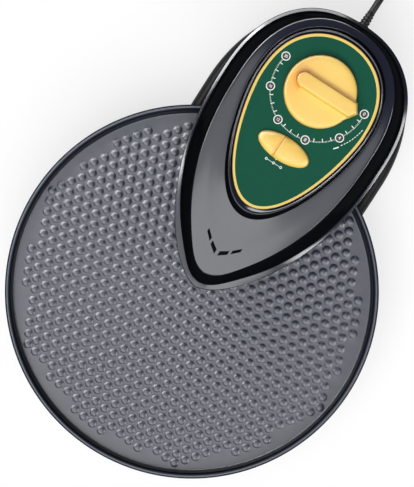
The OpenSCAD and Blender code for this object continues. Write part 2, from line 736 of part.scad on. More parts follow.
module timer_knob() color([0.96, 0.72, 0.28]) translate([0, knob_y, z_knob]) difference() {
    union() {
        rotate_extrude($fn = 96) polygon(concat(
            [[0, 0], [knob_r - 0.6, 0], [knob_r, 0.8]],
            arc([knob_r - 2.5, knob_h - 3], 2.5, 0, 80, 5),
            [[knob_r * 0.5, knob_h - 0.15], [0, knob_h]]));
        linear_extrude(knob_h - 1.5) polygon([
            knob_r * [cos(nose_half), -sin(nose_half)], [nose_reach, 0],
            knob_r * [cos(nose_half), sin(nose_half)], [0, 0]]);
        linear_extrude(knob_h + grip_h) grip_plan();
    }
    translate([0, 0, -1]) cylinder(r = timer_shaft_d / 2, h = knob_h + 1);
}

switch_h = 12;
module selector_switch() color([0.15, 0.15, 0.16]) difference() {
    translate([-24, selector_y - 9, z_panel - panel_t - switch_h]) cube([48, 18, switch_h]);
    translate([-slot_l / 2, selector_y - slot_w / 2, z_panel - panel_t - 8])
        cube([slot_l, slot_w, 9]);
}

module selector_stem() color([0.8, 0.8, 0.78])
    translate([-stem_l / 2, selector_y - stem_w / 2, z_panel - panel_t - 7])
        cube([stem_l, stem_w, panel_t + 7 + 0.6]);

// An oval dome with a low ridge across its middle
module selector_cap() color([0.96, 0.72, 0.28]) translate([0, selector_y, 0]) union() {
    capped_loft([
        [oval(0.3), z_panel + 0.6, 0],
        [oval(0), z_panel + 1.4, 0],
        [oval(0.2), z_panel + 0.6 + selector_h * 0.55, 0],
        [oval(1.6), z_panel + 0.6 + selector_h * 0.84, 0],
        [oval(4.4), z_panel + 0.6 + selector_h, 0]], 40);
    capped_loft([
        [ridge(0), z_panel + 1.6, 0],
        [ridge(0), z_panel + selector_h, 0],
        [ridge(0.8), z_panel + selector_h + 2.2, 0]], 24);
}
function oval(d) = [d - selector_w / 2, 0, selector_w / 2 - d, selector_l / 2 - d, 2, 0.5, 2, 0.5];
function ridge(d) = [d + 1.4 - selector_w / 2, 0, selector_w / 2 - 1.4 - d, 2 - d, 3, 0.5, 3, 0.5];

// ---- Cord ----------------------------------------------------------------
cord_r = cord_d / 2;
boot_l = 22;
relief_y = base[2];
exit_y = relief_y + 2.5 + boot_l;

module strain_relief() color([0.09, 0.09, 0.09])
    translate([0, relief_y, cord_z]) rotate([-90, 0, 0]) rotate_extrude() polygon([
        [0, -11], [relief_r + 1.6, -11], [relief_r + 1.6, -wall - 1.4], [relief_r, -wall - 1],
        [relief_r, 0.1], [relief_r + 2.4, 0.1], [relief_r + 2.4, 2], [relief_r, 2.6],
        [cord_r + 0.7, 2.5 + boot_l], [0, 2.5 + boot_l]]);

// Centre and heights of the coil that takes up the cord's spare length
coil_c = [-46, 390];
coil_r = 46;
coil_pitch = 7.6;
coil_z = cord_r + 1;
layer_turns = 1.5;
climb_turns = 0.5;
coil_turns = 2 * layer_turns + climb_turns;
coil_start = coil_c[1] - cord_d;

cord_route = [[0, exit_y, cord_z], [0, exit_y + 7, cord_z], [0, exit_y + 15, 21],
    [0, exit_y + 25, 17], [0, exit_y + 36, 11], [0, exit_y + 46, 6.5], [0, exit_y + 54, coil_z],
    [0, coil_start, coil_z]];

// Winds in at a steady rate, climbs a layer in half a turn, and winds out again
function coil_at(t) =
    let (turn_in = layer_turns + climb_turns / 2,
         r = coil_r - coil_pitch * (turn_in - abs(t - turn_in)),
         climb = min(1, max(0, (t - layer_turns) / climb_turns)),
         lift = coil_pitch * (1 - cos(180 * climb)) / 2)
    [coil_c[0] + r * cos(360 * t), coil_c[1] + r * sin(360 * t), coil_z + lift];

coil_steps = 24 * coil_turns;
tail_x = coil_c[0] - coil_r;
tail_top = coil_z + coil_pitch;
plug_z = 8;
plug_y = coil_c[1] - 54;
coil_path = concat(
    [[0, coil_start, coil_z]], [for (k = [0:coil_steps]) coil_at(k / 24)],
    [[tail_x, coil_c[1] - 8, tail_top], [tail_x, coil_c[1] - 20, tail_top - 1.2],
     [tail_x, coil_c[1] - 34, tail_top - 3.2], [tail_x, coil_c[1] - 46, plug_z],
     [tail_x, plug_y, plug_z]]);

// Least gap between stretches of the coil that are more than half a turn apart
coil_gap = min([for (i = [0:len(coil_path) - 1]) for (j = [i + 12:1:len(coil_path) - 1])
    norm(coil_path[i] - coil_path[j])]) - cord_d;
echo(coil_gap = coil_gap);

module power_cord() color([0.1, 0.1, 0.1]) tube(cord_route, cord_r, 8, [1, 0, 0]);

module cord_coil() color([0.1, 0.1, 0.1]) tube(coil_path, cord_r, 6);

tie_in = 32.4;
tie_out = 48.2;
tie_t = 0.8;
module cord_tie() color([0.15, 0.15, 0.15])
    translate([coil_c[0], coil_c[1], 0]) rotate([90, 0, 90]) translate([0, 0, -3])
        linear_extrude(6) difference() {
            translate([tie_in - tie_t, 0.1])
                square([tie_out - tie_in + 2 * tie_t, coil_pitch + cord_d + 1 + 2 * tie_t]);
            translate([tie_in, 0.1 + tie_t])
                square([tie_out - tie_in, coil_pitch + cord_d + 1]);
        }

plug_l = 27;
plug_w = 23;
plug_h = 14;
blade_gap = 6.35;

module plug_body() color([0.1, 0.1, 0.1]) translate([tail_x, plug_y, plug_z]) difference() {
    union() {
        translate([0, -plug_l, 0]) rotate([-90, 0, 0]) linear_extrude(plug_l - 10) plug_plan();
        translate([0, -10.5, 0]) rotate([-90, 0, 0]) cylinder(r = 6, h = 4);
        translate([0, -7, 0]) rotate([-90, 0, 0]) cylinder(r = 5, h = 7);
    }
    for (s = [-1, 1]) translate([s * blade_gap - 0.8, -plug_l - 1, -3.2]) cube([1.6, 9, 6.4]);
}

module plug_plan() union() {
    for (s = [-1, 1]) translate([s * (plug_w - plug_h) / 2, 0]) circle(r = plug_h / 2);
    square([plug_w - plug_h, plug_h], center = true);
}

module plug_blades() color([0.82, 0.7, 0.4]) translate([tail_x, plug_y - plug_l, plug_z])
    for (s = [-1, 1]) translate([s * blade_gap - 0.75, -17, -3.15]) cube([1.5, 25, 6.3]);

module placed() translate([0, spindle_y, 0]) children();

placed() base_shell();
placed() bottom_cover();
placed() rubber_feet();
placed() bottom_screws();
placed() lower_reflector();
placed() lower_element();
placed() lower_element_posts();
placed() gearmotor();
placed() motor_bracket();
placed() motor_screws();
placed() motor_shaft();
placed() drive_hub();
placed() pan();
placed() pan_drive_ring();
placed() tower_shell();
placed() tower_screws();
placed() terminal_block();
placed() internal_wires();
placed() upper_cover();
placed() chassis_plate();
placed() cover_screws();
placed() upper_reflector();
placed() upper_element();
placed() upper_element_posts();
placed() heat_guard();
placed() limit_thermostat();
placed() thermal_fuse();
placed() panel_plate();
placed() panel_face();
placed() timer();
placed() timer_bell();
placed() timer_shaft();
placed() timer_knob();
placed() selector_switch();
placed() selector_stem();
placed() selector_cap();
placed() strain_relief();
placed() power_cord();
placed() cord_coil();
placed() cord_tie();
placed() plug_body();
placed() plug_blades();
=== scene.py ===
# %% [markdown]
# # A small open oven with a turning pan
#
# The object is a small countertop oven, seen from straight above. A dark dimpled pan turns on
# a low base, and a teardrop housing with a heater in it reaches over the back half of the pan.
# The measured model gives every piece its place. This lesson dresses it: smooth shells in
# place of faceted ones, real dimples, a printed dial, and finishes that hold up close.

# %% Load the measured model
import math

import bmesh
import bpy
import numpy as np
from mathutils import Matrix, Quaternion, Vector, geometry


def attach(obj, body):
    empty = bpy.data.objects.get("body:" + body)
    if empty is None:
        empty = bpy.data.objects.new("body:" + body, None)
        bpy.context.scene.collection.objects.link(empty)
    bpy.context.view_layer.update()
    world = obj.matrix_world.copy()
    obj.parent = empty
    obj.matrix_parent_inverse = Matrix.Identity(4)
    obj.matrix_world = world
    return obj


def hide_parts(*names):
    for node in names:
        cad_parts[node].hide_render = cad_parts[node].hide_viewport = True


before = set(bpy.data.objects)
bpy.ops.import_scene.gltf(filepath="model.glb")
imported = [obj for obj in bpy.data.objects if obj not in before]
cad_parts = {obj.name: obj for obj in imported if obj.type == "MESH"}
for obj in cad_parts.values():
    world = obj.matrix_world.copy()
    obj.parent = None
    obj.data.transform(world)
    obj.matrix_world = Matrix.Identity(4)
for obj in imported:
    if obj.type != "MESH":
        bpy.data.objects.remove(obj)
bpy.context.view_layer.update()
MM = 0.001
SPINDLE_Y = -60.0

# %% [markdown]
# ## The camera
#
# The photograph looks straight down from about two metres, turned so that the housing points
# to the lower left. A long lens far away keeps the top of the knob from looking larger than
# the pan. The lens length follows from the width that the picture takes in at the pan's rim.
# The camera stands a few centimetres aside and behind, which tips the view by under a degree.

# %% Camera
CAMERA_HEIGHT, RIM_HEIGHT = 2.3, 0.075
PICTURE_HEIGHT, SENSOR_HEIGHT = 0.4677, 36.0
ASIDE, BEHIND = 0.015, 0.030
VIEW_TURN = 32.8
drop = CAMERA_HEIGHT - RIM_HEIGHT
camera_data = bpy.data.cameras.new("camera")
camera_data.sensor_fit = "VERTICAL"
camera_data.sensor_height = SENSOR_HEIGHT
camera_data.lens = SENSOR_HEIGHT * drop / PICTURE_HEIGHT
camera_data.clip_start, camera_data.clip_end = 0.05, 50.0
camera = bpy.data.objects.new("camera", camera_data)
aim = Vector((-0.0127, (SPINDLE_Y + 47.04) * MM, RIM_HEIGHT))
camera.location = (aim.x + ASIDE, aim.y + BEHIND, CAMERA_HEIGHT)
lean = (Quaternion((1, 0, 0), -math.atan(BEHIND / drop))
        @ Quaternion((0, 1, 0), math.atan(ASIDE / drop)))
camera.rotation_euler = (lean @ Quaternion((0, 0, 1), math.radians(VIEW_TURN))).to_euler()
bpy.context.scene.collection.objects.link(camera)
bpy.context.scene.camera = camera
print("lens in millimetres:", round(camera_data.lens, 1))

# %% [markdown]
# ## From points to a piece
#
# Every piece here ends as a mesh in the shared frame of the model. One helper does what they
# all need. It takes points in millimetres about the pan's axis, joins the points that meet,
# turns the faces outward, and puts the piece on the body that it moves with. A piece that
# stands for a part of the model hides that part.

# %% Placing a piece
SCENE = bpy.context.scene.collection


def add_piece(name, points, faces, body, stands_for=(), slot=None, smooth=True):
    """Makes a mesh piece from points in millimetres about the pan's axis."""
    points = np.asarray(points, float).reshape(-1, 3) + (0.0, SPINDLE_Y, 0.0)
    mesh = bpy.data.meshes.new(name)
    mesh.from_pydata((points * MM).tolist(), [], [list(map(int, f)) for f in faces])
    shape = bmesh.new()
    shape.from_mesh(mesh)
    bmesh.ops.remove_doubles(shape, verts=shape.verts, dist=2e-6)
    bmesh.ops.recalc_face_normals(shape, faces=shape.faces)
    shape.to_mesh(mesh)
    shape.free()
    mesh.polygons.foreach_set("use_smooth", [smooth] * len(mesh.polygons))
    piece = bpy.data.objects.new(name, mesh)
    SCENE.objects.link(piece)
    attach(piece, body)
    if stands_for:
        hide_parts(*stands_for)
    return piece


# %% [markdown]
# ## A skin over rings
#
# Nearly every piece is a skin over rings of points: teardrops for the housing, circles round
# an axis, or circles along a cord. Each ring has the same number of points, so the faces
# between two rings follow by counting. A fan of triangles closes an end, and a chain of rings
# that comes back to its first ring makes a wall with a real thickness.

# %% Skin
def skin(rings, closed=False, caps=(False, False)):
    """Faces from ring to ring, with a fan over either end or a way back to the first ring."""
    count, n = len(rings), len(rings[0])
    points = [p for ring in rings for p in ring]
    faces = []
    for k in range(count if closed else count - 1):
        a, b = k * n, (k + 1) % count * n
        faces += [(a + i, a + (i + 1) % n, b + (i + 1) % n, b + i) for i in range(n)]
    for cap, k in zip(caps, (0, count - 1)):
        if cap:
            points.append(np.mean(rings[k], axis=0))
            middle, a = len(points) - 1, k * n
            faces += [(middle, a + i, a + (i + 1) % n) for i in range(n)]
    return points, faces


prism_test = skin([[(0, 0, 0), (1, 0, 0), (0, 1, 0)], [(0, 0, 1), (1, 0, 1), (0, 1, 1)]])
print("faces round a three-sided skin:", len(prism_test[1]))

# %% [markdown]
# ## The cord's route
#
# The photograph shows the cord leaving the rear of the base and going out of the picture.
# It is a round seven millimetre lead. It runs straight out of its boot and sinks to the table
# in a soft curve. The spare length lies in a coil of three and a half turns behind the base.
# It winds inward on the table, climbs, and winds out again on top. The route uses the same
# points as the model.

# %% Cord route
COIL_MIDDLE = (-46.0, 390.0)
COIL_R, TURN_STEP, COIL_FLOOR = 46.0, 7.6, 4.5
INMOST_TURN = 1.75
POINTS_A_TURN, COIL_POINTS = 24, 85


def coil_point(turns):
    """A point of the coil, which winds inward to its inmost turn, climbs, and winds out."""
    radius = COIL_R - TURN_STEP * (INMOST_TURN - abs(turns - INMOST_TURN))
    climb = min(1.0, max(0.0, (turns - 1.5) / 0.5))
    angle = 2 * math.pi * turns
    return (COIL_MIDDLE[0] + radius * math.cos(angle), COIL_MIDDLE[1] + radius * math.sin(angle),
            COIL_FLOOR + TURN_STEP * (1 - math.cos(math.pi * climb)) / 2)


route = [(0, 323.5, 22), (0, 330.5, 22), (0, 338.5, 21), (0, 348.5, 17), (0, 359.5, 11),
         (0, 369.5, 6.5), (0, 377.5, 4.5), (0, 383, 4.5)]
route += [coil_point(k / POINTS_A_TURN) for k in range(COIL_POINTS)]
route += [(-92, 382, 12.1), (-92, 370, 10.9), (-92, 356, 8.9), (-92, 344, 8), (-92, 336, 8)]
print("points on the cord's route:", len(route))

# %% [markdown]
# ## A smooth line and a tube
#
# Straight stretches between the points would show as corners. A curve that takes its
# direction at each point from the two neighbours runs through all of them. A tube is then a
# ring of points carried along the line, turned only as far as the line bends, so that it
# doesn't twist.

# %% Line and tube
def smooth_line(points, between=4):
    """A curve through the points: each stretch bends by its neighbours."""
    p = np.asarray(points, float)
    p = np.vstack([2 * p[0] - p[1], p, 2 * p[-1] - p[-2]])
    out = []
    for k in range(1, len(p) - 2):
        step = np.linalg.norm(p[k + 1] - p[k])
        before, after = np.linalg.norm(p[k] - p[k - 1]), np.linalg.norm(p[k + 2] - p[k + 1])
        m0 = (p[k + 1] - p[k - 1]) / (before + step) * step
        m1 = (p[k + 2] - p[k]) / (step + after) * step
        for t in np.arange(between) / between:
            out.append((2 * t**3 - 3 * t**2 + 1) * p[k] + (t**3 - 2 * t**2 + t) * m0
                       + (3 * t**2 - 2 * t**3) * p[k + 1] + (t**3 - t**2) * m1)
    return np.array(out + [p[-2]])


def tube_rings(line, radius, sides=14):
    """Rings square to a line, carried along it without twisting."""
    line = np.asarray(line, float)
    ahead = np.gradient(line, axis=0)
    ahead /= np.linalg.norm(ahead, axis=1, keepdims=True)
    across = np.cross(ahead[0], (0.0, 0.0, 1.0))
    angle = 2 * np.pi * np.arange(sides) / sides
    rings = []
    for k in range(len(line)):
        across = across - ahead[k] * np.dot(across, ahead[k])
        across /= np.linalg.norm(across)
        up = np.cross(ahead[k], across)
        rings.append(line[k] + radius * (np.outer(np.cos(angle), across)
                                         + np.outer(np.sin(angle), up)))
    return rings


CORD_R = 3.5
cord_line = smooth_line(route)
cord_length = float(np.linalg.norm(np.diff(cord_line, axis=0), axis=1).sum()) * MM
cord = add_piece("cord", *skin(tube_rings(cord_line, CORD_R), caps=(True, True)), "housing",
                 stands_for=("power_cord", "cord_coil"), slot="cord_jacket")
print("cord length in metres:", round(cord_length, 3))

# %% [markdown]
# ## Sums for shaders
#
# A finish is a chain of nodes, and most of the chain is arithmetic. Wiring each Math node by
# hand hides the sum. A small class wraps one output of a node instead, so that a sum of two
# of them is written with a plus sign and the nodes add themselves.

# %% Fields
class Field:
    """A number that varies over a surface."""

    def __init__(self, finish, socket):
        self.finish, self.socket = finish, socket

    def sum(self, operation, *values):
        return self.finish.node("Math", {"operation": operation}, values)

    def __add__(self, other):
        return self.sum("ADD", self, other)

    def __sub__(self, other):
        return self.sum("SUBTRACT", self, other)

    def __rsub__(self, other):
        return self.sum("SUBTRACT", other, self)

    def __mul__(self, other):
        return self.sum("MULTIPLY", self, other)

    def __pow__(self, other):
        return self.sum("POWER", self, other)

    def __rpow__(self, other):
        return self.sum("POWER", other, self)

    __radd__, __rmul__ = __add__, __mul__

    def between(self, low, high):
        """0 below low and 1 above high, with a soft step from one to the other."""
        return self.finish.node("MapRange", {"interpolation_type": "SMOOTHSTEP"},
                                {"Value": self, "From Min": low, "From Max": high})


print("sums that work with the number first:", [n for n in vars(Field) if n.startswith("__r")])

# %% [markdown]
# ## A finish
#
# A finish is a material with one Principled shader. Values that stay the same all over a
# surface go straight on the shader, and only what varies is linked to a node. The helpers
# below add the nodes that come up again and again: soft noise, a blend of two colours, where
# the point lies, which way it faces, and a shallow bump.

# %% Finishes
class Finish:
    """A material: fixed values are set on its shader, and node() adds any other node."""

    def __init__(self, name, colour, roughness, **fixed):
        self.material = bpy.data.materials.new(name)
        self.material.use_nodes = True
        self.tree = self.material.node_tree
        self.shader = self.tree.nodes["Principled BSDF"]
        self.set("Base Color", (*colour, 1.0))
        self.set("Roughness", roughness)
        for socket, value in fixed.items():
            self.set(socket.replace("_", " "), value)

    def set(self, socket, value):
        self.feed(self.shader.inputs[socket], value)

    def feed(self, socket, value):
        if isinstance(value, Field):
            self.tree.links.new(value.socket, socket)
        else:
            socket.default_value = value

    def node(self, kind, settings=None, values=(), output=0):
        node = self.tree.nodes.new("ShaderNode" + kind)
        for key, value in (settings or {}).items():
            setattr(node, key, value)
        pairs = values.items() if isinstance(values, dict) else enumerate(values)
        for key, value in pairs:
            self.feed(node.inputs[key], value)
        return Field(self, node.outputs[output])

    def place(self, stretch=(1.0, 1.0, 1.0)):
        """Where the surface point lies on its own piece, in metres, stretched if asked."""
        where = self.node("TexCoord", output="Object")
        if stretch == (1.0, 1.0, 1.0):
            return where
        return self.node("VectorMath", {"operation": "MULTIPLY"}, (where, stretch))

    def noise(self, size_mm, detail=2.0, stretch=(1.0, 1.0, 1.0)):
        """Soft random patches of about this size, from 0 to 1 with most near one half."""
        return self.node("TexNoise", None, {"Vector": self.place(stretch),
                                            "Scale": 1.0 / (size_mm * MM), "Detail": detail})

    def mix(self, share, first, second):
        """A blend of two colours, with this share of the second."""
        colours = [c if isinstance(c, Field) else (*c, 1.0) for c in (first, second)]
        return self.node("Mix", {"data_type": "RGBA"},
                         {0: share, 6: colours[0], 7: colours[1]}, output=2)

    def part(self, axis):
        """One coordinate of the surface point, in metres."""
        return self.node("SeparateXYZ", None, (self.place(),), output=axis)

    def facing(self, axis):
        """One coordinate of the direction that the surface faces."""
        return self.node("SeparateXYZ", None, (self.node("NewGeometry", output=1),), output=axis)

    def bump(self, height, depth_mm):
        self.set("Normal", self.node("Bump", None, {"Height": height,
                                                    "Distance": depth_mm * MM}))


def cover(finish, *pieces):
    """Gives pieces, or model nodes by name, one finish."""
    for piece in pieces:
        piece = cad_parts[piece] if isinstance(piece, str) else piece
        piece.data.materials.clear()
        piece.data.materials.append(finish.material)
    print(finish.material.name, "covers", len(pieces))


print("helpers of a finish:", [n for n in vars(Finish) if not n.startswith("_")])

# %% [markdown]
# ## Gloss black
#
# The housing is gloss black: almost no colour of its own under a clear, sharp skin. Level
# faces show the lamps and turn grey, and steep ones stay black, so the clear coat is strong
# only where the surface looks up. Level faces also get a paler, bluer base colour, a painted
# sheen. A hint of orange peel comes from the mould, faint wiping marks change the sharpness,
# and a few specks of dust break the coat.

# %% Gloss black
gloss_black = Finish("gloss_black", (0.006, 0.006, 0.007), 0.45, Specular_IOR_Level=0.0,
                     Coat_Roughness=0.17, Coat_IOR=1.5)
wiping = gloss_black.noise(9.0, 4.0, (1.0, 0.22, 1.0))
specks = gloss_black.noise(1.1, 1.0).between(0.68, 0.74)
level_face = gloss_black.facing(2).between(0.70, 0.86)
gloss_black.set("Coat Weight",
                (0.012 + level_face * 0.988) * (1.0 - specks * 0.25 - wiping * 0.06))
gloss_black.set("Roughness", 0.40 + wiping * 0.2)
# Painted sheen: level faces get a paler, bluer base colour, for the lamps they mirror.
painted_top_sheen = gloss_black.mix(level_face, (0.003, 0.0035, 0.0045), (0.009, 0.012, 0.025))
gloss_black.set("Base Color", gloss_black.mix(specks, painted_top_sheen, (0.022, 0.024, 0.036)))
gloss_black.bump(gloss_black.noise(2.6, 1.0), 0.006)
print("nodes in gloss black:", len(gloss_black.tree.nodes))

# %% [markdown]
# ## Satin plastics, rubber and cord jacket
#
# The other dark parts differ in their skin. The base and tower have a fine moulded grain and
# hardly any mirror of their own, the inner parts are a little smoother, the feet are dusty
# rubber, and the cord's jacket is soft and scuffed. All of them are built the same way: a
# fine noise moves the roughness, blends two near colours and lifts a very shallow bump.

# %% Satin plastics and rubber
def grained(name, colour, size, span, dark, pale, depth, **fixed):
    """A dark moulding whose grain moves its roughness, its colour and its bump."""
    finish = Finish(name, colour, span[2], **fixed)
    grain = finish.noise(size, 3.0)
    finish.set("Roughness", span[0] + grain * span[1])
    finish.set("Base Color", finish.mix(grain, dark, pale))
    finish.bump(grain, depth)
    return finish


satin_black = grained("satin_black", (0.008, 0.008, 0.009), 0.5, (0.28, 0.16, 0.34),
                      (0.006, 0.006, 0.007), (0.012, 0.012, 0.013), 0.02)
base_black = grained("base_black", (0.012, 0.012, 0.013), 0.7, (0.36, 0.2, 0.45),
                     (0.009, 0.009, 0.010), (0.020, 0.020, 0.022), 0.02,
                     Specular_IOR_Level=0.05)

rubber = Finish("rubber", (0.03, 0.03, 0.03), 0.75)
dust = rubber.noise(3.0, 4.0)
rubber.set("Base Color", rubber.mix(dust, (0.022, 0.022, 0.022), (0.055, 0.053, 0.05)))
rubber.bump(rubber.noise(0.3, 2.0), 0.03)

cord_jacket = Finish("cord_jacket", (0.015, 0.014, 0.016), 0.45, Specular_IOR_Level=0.2)
scuffs = cord_jacket.noise(2.0, 5.0)
cord_jacket.set("Roughness", 0.3 + scuffs * 0.25)
cord_jacket.set("Base Color", cord_jacket.mix(scuffs.between(0.45, 0.8), (0.011, 0.010, 0.012),
                                              (0.026, 0.025, 0.028)))
cord_jacket.bump(cord_jacket.noise(0.4, 2.0), 0.015)
cover(cord_jacket, cord)

# %% [markdown]
# ## The teardrop outlines
#
# The housing, its bead, the panel, the tower and the base all share one kind of outline. From
# the widest place, the half width falls away by a power law to the tip and by another to the
# rear, and a blunt tip is rounded off. Nine numbers hold a whole outline, so two outlines can
# be blended or drawn in by simple sums.

# %% Outlines
BLUNT_SPAN = 17.0


def outline(o, n=320):
    """n points round [tip, widest, rear, half width, front and rear power and root, blunt]."""
    angle = 2 * np.pi * np.arange(n) / n
    c, s = np.cos(angle), np.sin(angle)
    front = s < 0
    end, power, root = (np.where(front, o[i], o[j]) for i, j in ((0, 2), (4, 6), (5, 7)))
    x = np.sign(c) * o[3] * np.abs(c) ** (2 * root)
    y = o[1] + (end - o[1]) * np.abs(s) ** (2 / power)
    blunt = front * (y - o[0]) * o[8] * np.exp(-((x / BLUNT_SPAN) ** 2))
    return np.stack([x, y - blunt], axis=1)


def mix(a, b, t):
    """The outline that lies this share of the way from a to b."""
    return [p * (1 - t) + q * t for p, q in zip(a, b)]


def inset(o, d):
    """An outline drawn in by about d millimetres, or out where d is negative."""
    return [o[0] + 2 * o[5] * d, o[1], o[2] - d, o[3] - d, *o[4:]]


SKIRT = [7.4, 196, 300, 89.5, 2.1, 0.66, 2.3, 0.44, 0.15]
LIP = [13.4, 196, 296.3, 85.8, 2.37, 0.787, 2.3, 0.44, 0.6]
CREASE = [23.6, 196, 288.5, 72.7, 2.3, 0.766, 2.3, 0.45, 0.6]
PANEL = [98, 206, 274, 56.8, 1.5, 0.5, 2.5, 0.5, 0]
BEAD = [87.2, 204.5, 280.8, 61.7, 1.5, 0.5, 2.5, 0.5, 0]
print("length of the housing in millimetres:", round(float(np.ptp(outline(SKIRT)[:, 1])), 1))

# %% [markdown]
# ## Rings that follow the falling top, and rounded edges
#
# The top of the housing is highest at the panel and falls towards the tip. Each ring takes a
# share of that fall: none at the bottom edge, all of it at the crease. Sharp rings are not
# moulded edges, so each ring on an edge is swapped for a short curve between its neighbours.

# %% Rings
FRONT_FALL, REAR_FALL = 17.0, 1.5


def fall(y):
    """How far the top surface lies below the panel's level at y."""
    front = np.maximum(0, (CREASE[1] - y) / (CREASE[1] - CREASE[0]))
    rear = np.maximum(0, (y - CREASE[1]) / (CREASE[2] - CREASE[1]))
    return FRONT_FALL * front**1.8 + REAR_FALL * rear**2


def ring(o, z, share=0.0, n=320):
    """An outline at a height, less a share of the top's fall."""
    flat = outline(o, n)
    return np.column_stack([flat, z - share * fall(flat[:, 1])])


def rounded(rows, radii, steps=4, closed=False):
    """Swaps each ring of an edge for a short curve that starts and ends radii away."""
    rows = np.asarray(rows, float)
    radii = [radii] * len(rows) if np.isscalar(radii) else radii
    out = []
    for k, row in enumerate(rows):
        if radii[k] == 0 or (not closed and k in (0, len(rows) - 1)):
            out.append(row)
            continue
        back, on = rows[k - 1] - row, rows[(k + 1) % len(rows)] - row
        long_back = np.maximum(np.linalg.norm(back, axis=1, keepdims=True), 1e-6)
        long_on = np.maximum(np.linalg.norm(on, axis=1, keepdims=True), 1e-6)
        reach = np.minimum(radii[k], 0.45 * np.minimum(long_back, long_on))
        start, end = row + back / long_back * reach, row + on / long_on * reach
        for t in np.linspace(0, 1, steps + 1):
            out.append((1 - t) ** 2 * start + 2 * t * (1 - t) * row + t * t * end)
    return np.array(out)


def shell_rings(levels, n=320, closed=True):
    """Rings for a shell, from levels of outline, height, share of the fall and edge radius."""
    rows = [ring(o, z, share, n) for o, z, share, _ in levels]
    return rounded(rows, [r for *_, r in levels], closed=closed)


print("fall at the tip in millimetres:", round(float(fall(CREASE[0])), 1))

# %% [markdown]
# ## The upper housing
#
# This is one moulded shell. Its lip stands straight, the wall leans in to a crease, the top
# runs up to a raised bead, and inside the bead lies the seat of the panel. A chain of rings
# goes up the outside and back down the inside, so the wall has its real thickness.

# %% Upper housing
Z_SKIRT, Z_CREASE, Z_PANEL = 118.0, 173.0, 178.0
LIP_H, WALL = 4.6, 2.5
Z_LIP = Z_SKIRT + LIP_H
wall_h = Z_CREASE - Z_SKIRT
LOW, MIDDLE, HIGH = (mix(LIP, CREASE, t) for t in (0.18, 0.48, 0.84))
SEAT, SEAT_IN = inset(PANEL, -0.4), inset(PANEL, 3)
outside = [
    (SKIRT, Z_SKIRT, 0, 0.3), (SKIRT, Z_LIP - 1.5, 0, 0.5),
    (mix(SKIRT, LIP, 0.12), Z_LIP - 1.1, 0, 0.3), (LIP, Z_LIP + 0.6, 0, 0.9),
    (LOW, Z_SKIRT + wall_h * 0.3, 0.25, 5), (MIDDLE, Z_SKIRT + wall_h * 0.64, 0.6, 5),
    (HIGH, Z_SKIRT + wall_h * 0.93, 0.9, 2.0), (CREASE, Z_CREASE, 1, 1.7),
    (mix(CREASE, BEAD, 0.5), Z_CREASE + 0.6, 0.95, 4), (BEAD, Z_CREASE + 1.2, 0.85, 0.3),
    (mix(BEAD, PANEL, 0.36), Z_PANEL + 1.2, 0.1, 0.5),
    (mix(BEAD, PANEL, 0.52), Z_PANEL + 2, 0, 0.6),
    (mix(BEAD, PANEL, 0.72), Z_PANEL + 1.5, 0, 0.6)]
seat = [(SEAT, Z_PANEL, 0, 0.3), (SEAT, Z_PANEL - 3, 0, 0.2), (SEAT_IN, Z_PANEL - 3, 0, 0.2),
        (SEAT_IN, Z_PANEL - 5.5, 0, 0.2)]
inside = [
    (mix(CREASE, BEAD, 0.8), Z_CREASE - 0.9, 1, 1), (mix(CREASE, BEAD, 0.2), Z_CREASE - 2.1, 1, 1),
    (inset(HIGH, WALL), Z_SKIRT + wall_h * 0.9 - 1, 0.9, 1),
    (inset(MIDDLE, WALL), Z_SKIRT + wall_h * 0.62, 0.6, 1),
    (inset(LOW, WALL), Z_SKIRT + wall_h * 0.28, 0.25, 1), (inset(LIP, WALL), Z_LIP - 1.9, 0, 0.3),
    (inset(SKIRT, WALL), Z_LIP - 2.2, 0, 0.3), (inset(SKIRT, WALL), Z_SKIRT, 0, 0.3)]
housing = add_piece("housing_shell", *skin(shell_rings(outside + seat + inside), closed=True),
                    "housing", stands_for=("upper_cover",), slot="gloss_black")
print("housing faces before the cut:", len(housing.data.polygons))

# %% [markdown]
# ## The vents
#
# Four slots near the tip let warm air out. They lie on two arms of a chevron, each parted by a
# rib. A boolean cuts them. A cut through a curved gloss surface would shade in patches, so the
# smooth normals are then copied back from the uncut shell.

# %% Vents
VENT_SPANS, VENT_Z = ((1.6, 9.2), (11.3, 18.2)), (144.0, 190.0)
SHADING_REACH = 0.0002


def merged(*parts):
    """Joins (points, faces) pairs into one pair."""
    points, faces = [], []
    for some_points, some_faces in parts:
        faces += [tuple(len(points) + i for i in f) for f in some_faces]
        points += list(some_points)
    return points, faces


def block(flat, z_low, z_high):
    """A four-sided block over a flat outline."""
    points, faces = skin([np.column_stack([flat, np.full(4, z)]) for z in (z_low, z_high)])
    return points, faces + [(3, 2, 1, 0), (4, 5, 6, 7)]


def vent_at(x):
    """The lower edge of an arm of the chevron."""
    return np.array([x, 43.1 + 0.40 * x**1.25])


def vent_cutter():
    """Four blocks that stand where the slots are."""
    parts = []
    for side in (1, -1):
        for start, end in VENT_SPANS:
            a, b = vent_at(start), vent_at(end)
            wide, narrow = 4.8 - 0.07 * start, 4.8 - 0.07 * end
            flat = np.array([a, b, b + (0, narrow), a + (0, wide)]) * (side, 1)
            parts.append(block(flat, *VENT_Z))
    return merged(*parts)


def cut_away(piece, cutter):
    """Cuts a shape out of a piece and keeps the piece's smooth shading."""
    uncut = piece.copy()
    uncut.data = piece.data.copy()
    SCENE.objects.link(uncut)
    cut = piece.modifiers.new("cut", "BOOLEAN")
    cut.object, cut.solver = cutter, "EXACT"
    shading = piece.modifiers.new("shading", "DATA_TRANSFER")
    shading.object, shading.use_loop_data = uncut, True
    shading.data_types_loops, shading.loop_mapping = {"CUSTOM_NORMAL"}, "POLYINTERP_NEAREST"
    shading.max_distance, shading.use_max_distance = SHADING_REACH, True
    bpy.context.view_layer.update()
    result = bpy.data.meshes.new_from_object(piece.evaluated_get(
        bpy.context.evaluated_depsgraph_get()))
    piece.modifiers.clear()
    piece.data = result
    for spare in (uncut, cutter):
        bpy.data.objects.remove(spare)


